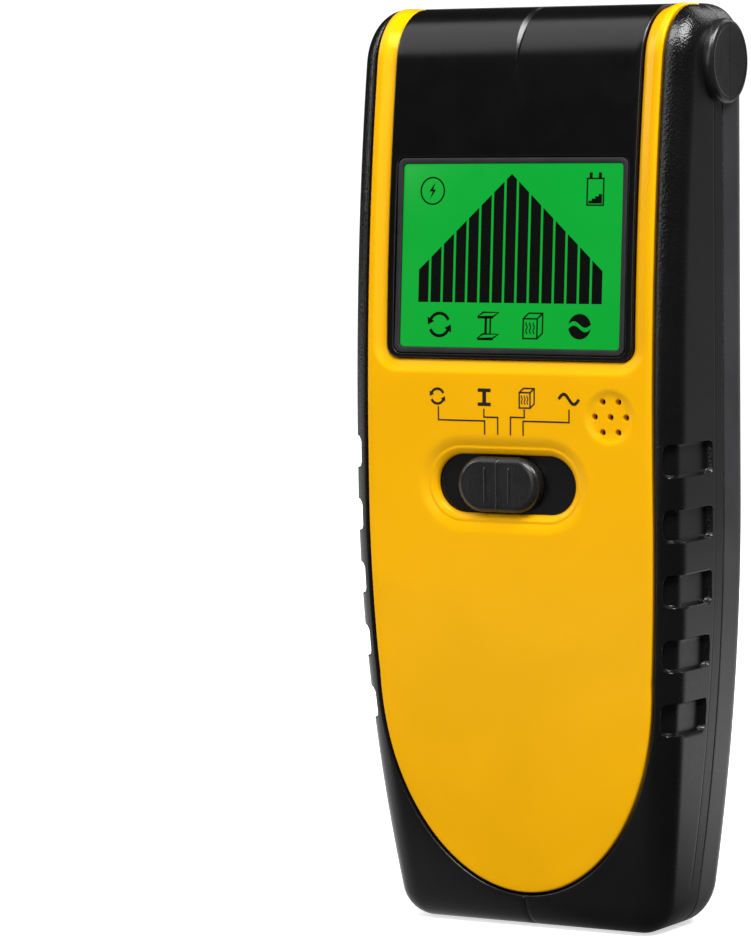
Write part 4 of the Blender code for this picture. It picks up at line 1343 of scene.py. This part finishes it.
def side_patch(half, side, rows, depth_at):
    """Outer and inner points of the turned edge and flat side, and the quads between them."""
    seam = SEAM - SEAM_GAP if half == "front" else SEAM + SEAM_GAP
    turns = graded(PATCH_START, EDGE_TURN, TURN_STEP, (POCKET_START,) if half == "front" else ())
    line = turn_start(half, rows)
    corner = place(half, line + EDGE_TURN, rows, 0.0)
    run = np.concatenate([[0.0], np.cumsum(np.hypot(*np.diff(corner[:, 1:], axis=0).T))])
    level_at_seam = fan_levels(corner, run)
    outer, inner = [], []
    for turn in turns:
        points = place(half, line + turn, rows, 0.0)
        depth = depth_at(points, np.full(len(rows), turn), np.abs(points[:, 1] - seam))
        inner_depth = np.maximum(WALL, depth + THINNEST)
        outer.append(place(half, side * (line + turn), rows, depth))
        inner.append(place(half, side * (line + turn), rows, inner_depth))
    for share in side_shares(half, corner[:, 1], seam):
        y = corner[:, 1] + (seam - corner[:, 1]) * share
        z = corner[:, 2] + (level_at_seam - corner[:, 2]) * share
        x = half_width(z)
        turn = EDGE_TURN + np.abs(y - corner[:, 1])
        depth = depth_at(np.column_stack([x, y, z]), turn, np.abs(y - seam))
        inner_depth = np.maximum(WALL, depth + THINNEST)
        outer.append(np.column_stack([side * (x - depth), y, z]))
        inner.append(np.column_stack([side * (x - inner_depth), y, z]))
    outer, inner = np.array(outer), np.array(inner)
    columns, count = outer.shape[:2]
    index = np.arange(columns * count).reshape(columns, count)
    faces = [index[:-1, :-1], index[1:, :-1], index[1:, 1:], index[:-1, 1:]]
    faces = np.stack(faces[:: int(side)], axis=-1).reshape(-1, 4)
    return outer.reshape(-1, 3), inner.reshape(-1, 3), faces


def turn_start(half, along):
    """across where the edge starts to turn, such that the turn ends exactly on the side face."""
    distance, _, z, angle = PROFILES[half].T
    base = np.interp(along, distance, z)
    turn = np.radians(np.interp(along, distance, angle))
    return half_width(base - EDGE_RADIUS * np.sin(turn)) - EDGE_RADIUS


def fan_levels(corner, run):
    """Levels at the seam for the side's rows: level with the corner, but spread at both ends."""
    z = corner[:, 2]
    first = int(np.argmax(z > FAN_LOW))
    last = len(z) - 1 - int(np.argmax(z[::-1] < FAN_HIGH))
    levels = z.copy()
    share = run[: first + 1] / run[first]
    levels[: first + 1] = z[0] + (z[first] - z[0]) * share
    share = (run[last:] - run[last]) / (run[-1] - run[last])
    levels[last:] = z[last] + (z[-1] - z[last]) * share
    return levels


def join_patches(strip, patches, shared):
    """One surface from a strip and its side patches, whose first shared points lie on its border."""
    outer, inner, faces = [part.tolist() for part in strip]
    border = KDTree(len(outer))
    for i, point in enumerate(outer):
        border.insert(point, i)
    border.balance()
    for patch_outer, patch_inner, quads in patches:
        numbers = [border.find(point)[1] for point in patch_outer[:shared]]
        numbers += range(len(outer), len(outer) + len(patch_outer) - shared)
        outer += patch_outer[shared:].tolist()
        inner += patch_inner[shared:].tolist()
        faces += [[numbers[i] for i in quad] for quad in quads]
    return outer, inner, faces


def front_depth(side):
    """Depth of a front side patch: the seam's rounding, pockets, crease and button recess."""

    def depth_at(points, turn, to_seam):
        _, y, z = points.T
        depth = round_over(to_seam, SEAM_ROUND)
        back = EDGE_TURN + POCKET_BACK - (bow(z) + EDGE_RADIUS)  # turn where Y is POCKET_BACK
        for level in POCKET_LEVELS:
            near = np.abs(z - level) < POCKET_HALF_HEIGHT + 2.0
            if not near.any():
                continue
            low = (POCKET_START, level - POCKET_HALF_HEIGHT)
            high = (float(back[near].mean()), level + POCKET_HALF_HEIGHT)
            gap = box_distance(turn, z, low, high, POCKET_CORNERS)
            depth += np.where(near, POCKET_DEPTH * ease((gap + 0.2) / POCKET_WALL), 0.0)
        on_side = turn > EDGE_TURN
        band = on_side & (z > CREASE_LOW) & (z < CREASE_HIGH)
        crease = CREASE_DEPTH * (1 - ease(np.abs(y - CREASE_Y) / CREASE_HALF))
        depth += np.where(band, crease, 0.0)
        if side < 0:
            half_y, half_z = SCAN_HALF_DEPTH + SCAN_GAP, SCAN_HALF_HEIGHT + SCAN_GAP
            low, high = (SCAN_Y - half_y, SCAN_LEVEL - half_z), (SCAN_Y + half_y, SCAN_LEVEL + half_z)
            gap = box_distance(y, z, low, high, (SCAN_CORNER, SCAN_CORNER))
            depth += np.where(on_side, SCAN_RECESS * ease((gap + 0.1) / 0.25), 0.0)
        return depth

    return depth_at


def back_depth(side):
    """Depth of a rear side patch, which is plain on both sides: the seam's rounding."""

    def depth_at(points, turn, to_seam):
        return round_over(to_seam, SEAM_ROUND)

    return depth_at


def patch_borders(half, rows):
    """(across, along) of the right and left lines where the front or back meets a side patch."""
    right = np.column_stack([turn_start(half, rows) + PATCH_START, rows])
    return right, right * (-1.0, 1.0)


def add_casing(shape, half, rows, sheet, depth_on):
    """A shell's front or back with its side patches, and its half of each boss."""
    patches = [side_patch(half, side, rows, depth_on(side)) for side in SIDES]
    shape.skin(*join_patches(sheet, patches, len(rows)))
    for side in SIDES:
        half_disc(shape, side, -1.0 if half == "front" else 1.0)


def half_disc(shape, side, way):
    """Half of the round boss beside the seam: the front half for way -1, the rear for +1."""
    profile = (  # distance in from the rim, rise over the side
        (0.0, -3.0),
        (0.0, 0.4),
        (0.02, 0.8),
        (0.12, 1.2),
        (0.36, 1.55),
        (0.7, 1.74),
        (1.05, DISC_RISE),
        (1.25, DISC_RISE - 0.02),
        (1.4, DISC_RISE - 0.1),
        (1.7, DISC_RISE - 0.12),
        (DISC_RADIUS, DISC_RISE - 0.12),
    )
    steps = 48
    points, faces = [], []
    for inset, rise in profile:
        for turn in np.linspace(math.pi / 2, 3 * math.pi / 2, steps + 1):
            radius = DISC_RADIUS - inset
            y = SEAM + way * (0.1 - radius * math.cos(turn))
            points.append((side * (HALF_WIDTH + rise), y, DISC_LEVEL + radius * math.sin(turn)))
    count = steps + 1
    starts = [k * count for k in range(len(profile))]
    for a, b in zip(starts[:-1], starts[1:]):
        faces += [(a + i, a + i + 1, b + i + 1, b + i) for i in range(steps)]
    ends = [start + steps for start in starts]
    faces.append(tuple(starts + ends[-2::-1]))
    faces.append(tuple(range(count)))
    shape.mark = 1
    shape.add(points, faces)
    shape.mark = 0


def front_shell():
    rows = patch_rows("front")
    right, left = patch_borders("front", rows)
    groove = plate_edge(GROOVE)
    bottom = resample([left[0], right[0]], FINE)[1:-1]
    top_right = resample([right[-1], groove[-1]], FINE)[1:-1]
    top_left = resample([groove[0], left[-1]], FINE)[1:-1]
    loop = np.vstack([left[::-1], bottom, right, top_right, groove[::-1], top_left])
    toe = float(groove[:, 1].min())
    lines = beside(groove, [-d for d in round_steps(GROOVE_ROUND)])
    lines += seam_lines(left[0, 0] + 0.3, right[0, 0] - 0.3, [(SEAM_GAP, 1)])
    for share in (-1.0, -0.5, 0.0, 0.5, 1.0):
        x = share * TOE_LINE_HALF
        ends = [[x, SEAM_GAP + 0.4], [x, toe - GROOVE_ROUND - 0.1]]
        lines.append((resample(ends, FINE), False))
    corners, faces = fill([loop], lines, spacing=0.85)

    depth = rounded_edge(corners, groove, GROOVE_ROUND, closed=False)
    depth += seam_rounding("front", corners[:, 1])
    toe_line = TOE_LINE_DEPTH * (1 - ease(np.abs(corners[:, 0]) / TOE_LINE_HALF))
    depth += toe_line * (corners[:, 1] < toe)
    shape = Shape()
    sheet = body_sheet("front", corners, faces, depth, WALL, THINNEST)
    add_casing(shape, "front", rows, sheet, front_depth)
    recess_floor(shape)
    made_of = ["black_abs", "smooth_black"]
    shape.piece("front_casing", made_of, "case", ["front_shell"])


def recess_floor(shape):
    """The surface under the face plate, with openings for the display and the knob's stem."""
    edge = plate_edge(GROOVE + 0.3)
    half_x, half_z = LCD_HALF_WIDTH + BEZEL + 0.8, LCD_HALF_HEIGHT + BEZEL + 0.8
    opening = outline_box(-half_x, half_x, LCD_LEVEL - half_z, LCD_LEVEL + half_z)
    stem = outline_box(STEM_LOW, STEM_HIGH, SLOT_LEVEL - 2.0, SLOT_LEVEL + 2.0)
    loops = [resample(np.vstack([edge, edge[:1]]), 1.6)[:-1]]
    loops += [resample(locate("front", each), 1.6, closed=True) for each in (opening, stem)]
    corners, faces = fill(loops, spacing=2.0)
    depth = np.full(len(corners), FLOOR_DEPTH)
    shape.skin(*body_sheet("front", corners, faces, depth, FLOOR_DEPTH + FLOOR_THICKNESS))


def rear_shell():
    rows = patch_rows("back")
    right, left = patch_borders("back", rows)
    bottom = resample([left[0], right[0]], FINE * 1.5)[1:-1]
    top = resample([right[-1], left[-1]], FINE * 1.5)[1:-1]
    loop = np.vstack([left[::-1], bottom, right, top])
    half, high = DOOR_HALF_WIDTH + DOOR_GAP, DOOR_TOP + DOOR_GAP
    holes = [rounded_rectangle(-half, half, DOOR_RECESS_BOTTOM, high, 1.0)]
    holes += [circle(x, z, COUNTERBORE, BORE_STEPS) for x, z in CASE_SCREWS.values()]
    holes = [resample(locate("back", hole), FINE, closed=True) for hole in holes]
    lines = []
    for hole in holes:
        lines += around(hole, round_steps(HOLE_ROUND))
    seams = [(SEAM_GAP, 1), (TOP["back"] - SEAM_GAP, -1)]
    lines += seam_lines(left[0, 0] + 0.3, right[0, 0] - 0.3, seams)
    corners, faces = fill([loop, *holes], lines, spacing=1.3)

    depth = seam_rounding("back", corners[:, 1])
    for hole in holes:
        depth += rounded_edge(corners, hole, HOLE_ROUND)
    shape = Shape()
    sheet = body_sheet("back", corners, faces, depth, WALL, THINNEST)
    add_casing(shape, "back", rows, sheet, back_depth)
    for x, z in CASE_SCREWS.values():
        cup(shape, x, z)
    battery_bay(shape)
    made_of = ["rear_abs", "smooth_black"]
    shape.piece("rear_casing", made_of, "case", ["rear_shell"])


def cup(shape, x, z):
    """The bottom of a counterbore, with a rim under the shell's back."""
    seat, rim = BACK - COUNTERBORE_DEPTH, BACK - WALL + 0.3
    outer, hole = COUNTERBORE + 1.0, 1.75
    sections = (
        (outer, seat - 1.0),
        (outer, rim),
        (COUNTERBORE, rim),
        (COUNTERBORE, seat),
        (hole, seat),
        (hole, seat - 1.0),
    )
    shape.ring([flat_ring(circle(x, z, radius, BORE_STEPS), y) for radius, y in sections])


def battery_bay(shape):
    """A tub with a flange: walls, floor and the ledge that the door rests on."""
    ledge = BACK - DOOR_THICKNESS - DOOR_GAP
    flange = (DOOR_HALF_WIDTH + 0.8, DOOR_RECESS_BOTTOM - 0.5, DOOR_TOP + 0.8, 1.0)
    skin = (BAY_HALF_WIDTH + 1.6, BAY_BOTTOM - 1.5, BAY_TOP + 1.6, 1.0)
    bay = (BAY_HALF_WIDTH, BAY_BOTTOM, BAY_TOP, 0.8)
    under = ledge - 1.2
    sections = (
        (skin, BAY_FLOOR - 1.4),
        (skin, under),
        (flange, under),
        (flange, ledge),
        (bay, ledge),
        (bay, BAY_FLOOR),
    )
    loops = []
    for (half, low, high, radius), y in sections:
        loops.append(flat_ring(rounded_rectangle(-half, half, low, high, radius, steps=4), y))
    shape.loft(loops)


# ---- moving pieces ----


def mode_knob():
    """The knob with its three ribs, and the stem that goes through the floor."""
    loops = []
    for inset, y in [(0.0, KNOB_BASE)] + [(inset, KNOB_FACE + drop) for inset, drop in KNOB_EDGE]:
        half_length, half_height = KNOB_HALF_LENGTH - inset, KNOB_HALF_HEIGHT - inset
        loops.append(flat_ring(slot_outline(KNOB_REST, SLOT_LEVEL, half_length, half_height), y))
    shape = Shape()
    shape.loft(loops)
    for i, reach in RIBS:
        rib(shape, KNOB_REST + i * RIB_PITCH, reach)
    left, right = KNOB_REST - KNOB_STEM, KNOB_REST + KNOB_STEM
    low, high = SLOT_LEVEL - STEM_HALF_HEIGHT, SLOT_LEVEL + STEM_HALF_HEIGHT
    stem = rounded_rectangle(left, right, low, high, 0.4)
    shape.loft([flat_ring(stem, STEM_BACK), flat_ring(stem, KNOB_BASE - 0.3)])
    shape.piece("switch_knob", ["smooth_black"], "mode_slider", ["mode_knob"])


def rib(shape, x, reach):
    """A fine upright ridge that follows the knob's face, and its edge where it gets that far."""
    across, rise = np.array(RIB_ACROSS), np.array(RIB_RISE)
    insets, drops = np.array(KNOB_EDGE).T
    loops = []
    for away in np.linspace(-reach, reach, 33):
        face = KNOB_FACE + np.interp(KNOB_HALF_HEIGHT - abs(away), insets, drops)
        height = float(ease((reach - abs(away)) / 0.5))
        y = face - np.where(rise > 0, rise * height, rise)
        loops.append(np.column_stack([x + across, y, np.full(len(across), SLOT_LEVEL + away)]))
    shape.loft(loops)


def scan_ring(middle, half_y, half_z, radius, rise, steps=8):
    """An outline on the left side, round SCAN_Y and the middle level, at a rise over the side."""
    low, high = middle - half_z, middle + half_z
    outline = rounded_rectangle(SCAN_Y - half_y, SCAN_Y + half_y, low, high, radius, steps)
    return side_ring(outline, -HALF_WIDTH - rise)


def scan_button():
    """The button on the left side, with a shallow dish for the finger and five ridges."""
    dished = (  # distance in from the edge, rise over the side
        (0.0, -1.2),
        (0.0, 0.05),
        (0.08, 0.28),
        (0.24, 0.47),
        (0.5, 0.58),
        (0.8, SCAN_RISE),
        (1.3, 0.55),
        (2.2, 0.42),
        (3.4, 0.36),
    )
    ridge = ((0.42, 0.2), (0.36, 0.45), (0.22, 0.56), (0.06, 0.6))  # half width and rise
    shape = Shape()
    loops = []
    for inset, rise in dished:
        half_y, half_z = SCAN_HALF_DEPTH - inset, SCAN_HALF_HEIGHT - inset
        loops.append(scan_ring(SCAN_LEVEL, half_y, half_z, max(2.0 - inset * 0.4, 0.5), rise))
    shape.loft(loops)
    for k in (-2, -1, 0, 1, 2):
        z = SCAN_LEVEL + SCAN_RIDGE * k
        rings = []
        for half, rise in ridge:
            rings.append(scan_ring(z, SCAN_RIDGE_HALF + half, half, half * 0.98, rise, steps=5))
        shape.loft(rings)
    shape.piece("scan_key", ["black_abs"], "scan_press", ["scan_button"])


def battery_door():
    """The battery cover: a closed sheet with a ribbed thumb grip."""
    (left, low), (right, high) = GRIP
    outline = rounded_rectangle(-DOOR_HALF_WIDTH, DOOR_HALF_WIDTH, DOOR_BOTTOM, DOOR_TOP, 0.9)
    outline = resample(outline, FINE, closed=True)
    grip = resample(rounded_rectangle(left, right, low, high, GRIP_CORNER), FINE, closed=True)
    lines = around(outline, [-d for d in round_steps(DOOR_ROUND)])
    lines += around(grip, (0.3, 0.0, -0.3, -0.6, -0.9))
    for z in np.arange(low + GRIP_PITCH, high - 1.0, 0.2):
        lines.append((resample([[left + 1.0, z], [right - 1.0, z]], 1.0), False))
    corners, faces = fill([outline], lines, spacing=1.4)
    x, z = corners.T

    gap = box_distance(x, z, *GRIP, (GRIP_CORNER, GRIP_CORNER))
    waves = 0.5 + 0.5 * np.cos((z - (low + high) / 2) * 2 * math.pi / GRIP_PITCH)
    depth = rounded_edge(corners, outline, DOOR_ROUND)
    depth += GRIP_DEPTH * ease((gap + 0.3) / 1.2)
    depth -= GRIP_RIDGE * waves * ease((gap - 0.6) / 0.5)
    outer = np.column_stack([x, BACK - depth, z])
    inner = np.column_stack([x, np.full(len(x), BACK - DOOR_THICKNESS), z])
    shape = Shape()
    shape.skin(outer, inner, faces)
    knuckle(shape)
    made_of = ["rear_abs"]
    shape.piece("battery_cover_panel", made_of, "battery_cover", ["battery_door"])


def knuckle(shape):
    """The rounded lower edge that carries the two pivot pegs."""
    axis_y = BACK - DOOR_THICKNESS / 2
    half = DOOR_HALF_WIDTH
    for start, end, radius in (
        (-half + 0.4, half - 0.4, DOOR_THICKNESS / 2 - 0.02),
        (-half - 0.7, -half + 0.6, PEG_RADIUS),
        (half - 0.6, half + 0.7, PEG_RADIUS),
    ):
        ring = circle(axis_y, DOOR_BOTTOM, radius, 20)
        shape.loft([side_ring(ring, start), side_ring(ring, end)])


# ---- screws ----


def case_screws():
    """Pan heads with a cross recess, and a threaded shank."""
    for name, (x, z) in CASE_SCREWS.items():
        low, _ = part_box(f"case_screw_{name}")
        tip = low.y / MM
        threads = []
        y = SCREW_SEAT + 0.1
        while y > tip + THREAD_PITCH:
            threads += [(THREAD_ROOT, y), (THREAD_CREST, y - THREAD_PITCH / 2)]
            y -= THREAD_PITCH
            threads.append((THREAD_ROOT, y))
        threads.append((0.3, tip))
        shape = Shape()
        cross_head(shape, x, z)
        shape.loft([flat_ring(circle(x, z, radius, 20), level) for radius, level in threads])
        shape.piece(f"screw_{name}", ["steel"], "case", [f"case_screw_{name}"])


def cross_head(shape, x, z):
    arm, half = CROSS_ARM, CROSS_HALF
    corner = np.array([(arm, -half), (arm, half), (half, half)])
    quarter = np.array([(0, 1), (-1, 0)])
    cross = np.vstack([corner @ np.linalg.matrix_power(quarter, k) for k in range(4)])
    cross = resample(cross + (x, z), 0.3, closed=True)
    rim = resample(circle(x, z, SCREW_HEAD, 44), 2.0, closed=True)
    lines = around(rim, [-d for d in round_steps(0.7)]) + [(cross, True)]
    corners, faces = fill([rim], lines, spacing=0.35)
    depth = 0.9 * rounded_edge(corners, rim, 0.9)
    in_cross = inside(corners, [cross]) & (distance_to(corners, cross, closed=True) > 0.02)
    depth += np.where(in_cross, CROSS_DEPTH, 0.0)
    top = np.column_stack([corners[:, 0], SCREW_FACE - depth, corners[:, 1]])
    base = np.column_stack([corners[:, 0], np.full(len(corners), SCREW_SEAT), corners[:, 1]])
    shape.skin(top, base, faces)


# ---- carried-over nodes ----


def dress_inner_nodes():
    """Every CAD node that stays visible gets its slot's material and slightly rounded edges."""
    slots = {part["node"]: part["material_slot"] for part in frame["record"]["subparts"]}
    for node, made in frame["nodes"].items():
        if made.hide_render:
            continue
        slot = slots[node]
        made.data.materials.clear()
        made.data.materials.append(MATERIALS[slot])
        for polygon in made.data.polygons:
            polygon.material_index = 0
        step = made.modifiers.new("rounded edges", "BEVEL")
        step.width = INNER_ROUND * MM
        step.segments = 2
        step.limit_method = "ANGLE"
        step.angle_limit = math.radians(SHARP + 2.0)


# ---- studio ----


def area_light(name, location, target, size, radiance, mirrored=True):
    """A softbox whose brightness is given as radiance, whatever its size."""
    data = bpy.data.lights.new(name, "AREA")
    data.shape = "RECTANGLE"
    data.size, data.size_y = size
    data.energy = radiance * math.pi * size[0] * size[1]
    made = bpy.data.objects.new(name, data)
    made.location = location
    direction = Vector(target) - Vector(location)
    made.rotation_euler = direction.to_track_quat("-Z", "Y").to_euler()
    made.visible_camera = False
    made.visible_glossy = mirrored
    bpy.context.collection.objects.link(made)


AIM = (0.0, 0.0, 0.09)  # metres, as all places in the studio
SOFTBOXES = (  # name, place, target, size, radiance
    ("main_softbox", (0.45, -0.74, 1.45), AIM, (0.88, 0.80), 11.6),
    ("top_softbox", (-0.46, -0.30, 0.84), AIM, (0.75, 0.85), 1.6),
    ("front_softbox", (0.45, -1.05, 0.72), AIM, (0.70, 0.50), 1.6),
    ("front_panel", (0.12, -1.22, 0.38), AIM, (0.62, 0.60), 2.0),
    ("left_panel", (-1.02, -0.36, 0.62), AIM, (0.36, 0.70), 3.6),
    ("upper_right_strip", (0.56, 0.00, 0.74), (0.0, 0.0, 0.16), (0.40, 0.32), 20.0),
    ("right_panel", (0.60, 1.03, 0.16), AIM, (0.5, 0.7), 0.08),
    ("back_panel", (0.12, 1.20, 0.20), AIM, (0.5, 0.7), 0.35),
    ("rear_softbox", (0.25, 1.05, 0.85), AIM, (0.7, 0.6), 1.5),
)
LOW_FILL = ("low_fill", (0.0, -0.16, 0.02), (0.0, -0.016, 0.02), (0.24, 0.04), 3.0)


def studio():
    for light in SOFTBOXES:
        area_light(*light)
    area_light(*LOW_FILL, mirrored=False)
    world = bpy.data.worlds.new("studio")
    world.use_nodes = True
    tree = world.node_tree
    background = tree.nodes["Background"]
    path = tree.nodes.new("ShaderNodeLightPath")
    level = ambient_level(tree, path.outputs["Is Glossy Ray"], 0.14, 0.025)
    level = ambient_level(tree, path.outputs["Is Camera Ray"], level, 1.1)
    tree.links.new(level, background.inputs["Strength"])
    background.inputs["Color"].default_value = (1.0, 1.0, 1.0, 1.0)
    bpy.context.scene.world = world
    floor()
    bpy.context.scene.view_settings.view_transform = "Standard"


def mirrored_paper(paper):
    """Brightness of the floor in reflections: bright behind the object and dim in front of it."""
    x, y, _ = paper.axes()
    ahead = paper.product(paper.ramp(x, 0.16, 0.13, -0.2, 0.0), paper.ramp(x, 1.0, 0.23, 0.0, 0.06))
    strip = paper.product(paper.ramp(x, 0.0, 0.8, -0.35, -0.2), paper.ramp(x, 1.0, 0.0, 0.0, 0.08))
    strip = paper.product(strip, paper.ramp(y, 1.0, 0.0, -0.7, -0.45))
    aslant = paper.math("SUBTRACT", y, paper.product(x, 0.8))
    far = paper.ramp(y, 1.0, 0.12, 0.12, 0.75)
    behind = paper.product(paper.ramp(aslant, 0.0, 1.0, -0.02, 0.06), far)
    return paper.math("ADD", paper.math("ADD", ahead, strip), behind)


def floor():
    """Pale paper. It glows a little away from the object, so that only the shadow beside it shows,
    and its reflections are uneven, as in a light tent.
    """
    paper = Nodes("floor_paper", (0.88, 0.88, 0.88), 0.8, specular=0.1)
    paper.vary_colour(paper.noise(300.0), 0.99, 1.01)
    paper.set("Emission Color", (1.0, 1.0, 1.0, 1.0))
    away = paper.new("VectorMath")
    away.operation = "LENGTH"
    paper.link(paper.place, away, "Vector")
    paper.drive("Emission Strength", paper.ramp(away.outputs["Value"], 0.62, 1.1, 0.10, 0.6))
    mirrored = paper.new("Emission")
    paper.link(mirrored_paper(paper), mirrored, "Strength")
    blend = paper.new("MixShader")
    paper.link(paper.new("LightPath").outputs["Is Glossy Ray"], blend, "Fac")
    paper.link(paper.shader.outputs["BSDF"], blend, 1)
    paper.link(mirrored.outputs["Emission"], blend, 2)
    paper.link(blend.outputs["Shader"], paper.tree.nodes["Material Output"], "Surface")
    mesh = bpy.data.meshes.new("floor")
    reach, drop = 6.0, -0.0002
    corners = [(reach * a, reach * b, drop) for a, b in ((-1, -1), (1, -1), (1, 1), (-1, 1))]
    mesh.from_pydata(corners, [], [(0, 1, 2, 3)])
    mesh.materials.append(paper.material)
    made = bpy.data.objects.new("floor", mesh)
    bpy.context.collection.objects.link(made)
    made.visible_diffuse = False


def ambient_level(tree, switch, low, high):
    """The world's strength: low, or high for the rays that switch picks out."""
    node = tree.nodes.new("ShaderNodeMapRange")
    node.inputs["To Max"].default_value = high
    if isinstance(low, float):
        node.inputs["To Min"].default_value = low
    else:
        tree.links.new(low, node.inputs["To Min"])
    tree.links.new(switch, node.inputs["Value"])
    return node.outputs["Result"]


def camera():
    data = bpy.data.cameras.new("camera")
    data.lens = 176.0
    data.sensor_width = 36.0
    made = bpy.data.objects.new("camera", data)
    right = Vector((0.86382, 0.50370, -0.00992))
    up = Vector((-0.02993, 0.07095, 0.99703))
    back = right.cross(up)
    rotation = Matrix((right, up, back)).transposed()
    made.matrix_world = Matrix.Translation((0.4248, -0.7937, 0.1585)) @ rotation.to_4x4()
    bpy.context.collection.objects.link(made)
    bpy.context.scene.camera = made


camera()
studio()
face_plate()
display_window()
display_frame()
display_glass()
display_marks()
printed_marks()
front_shell()
rear_shell()
mode_knob()
scan_button()
battery_door()
case_screws()
dress_inner_nodes()
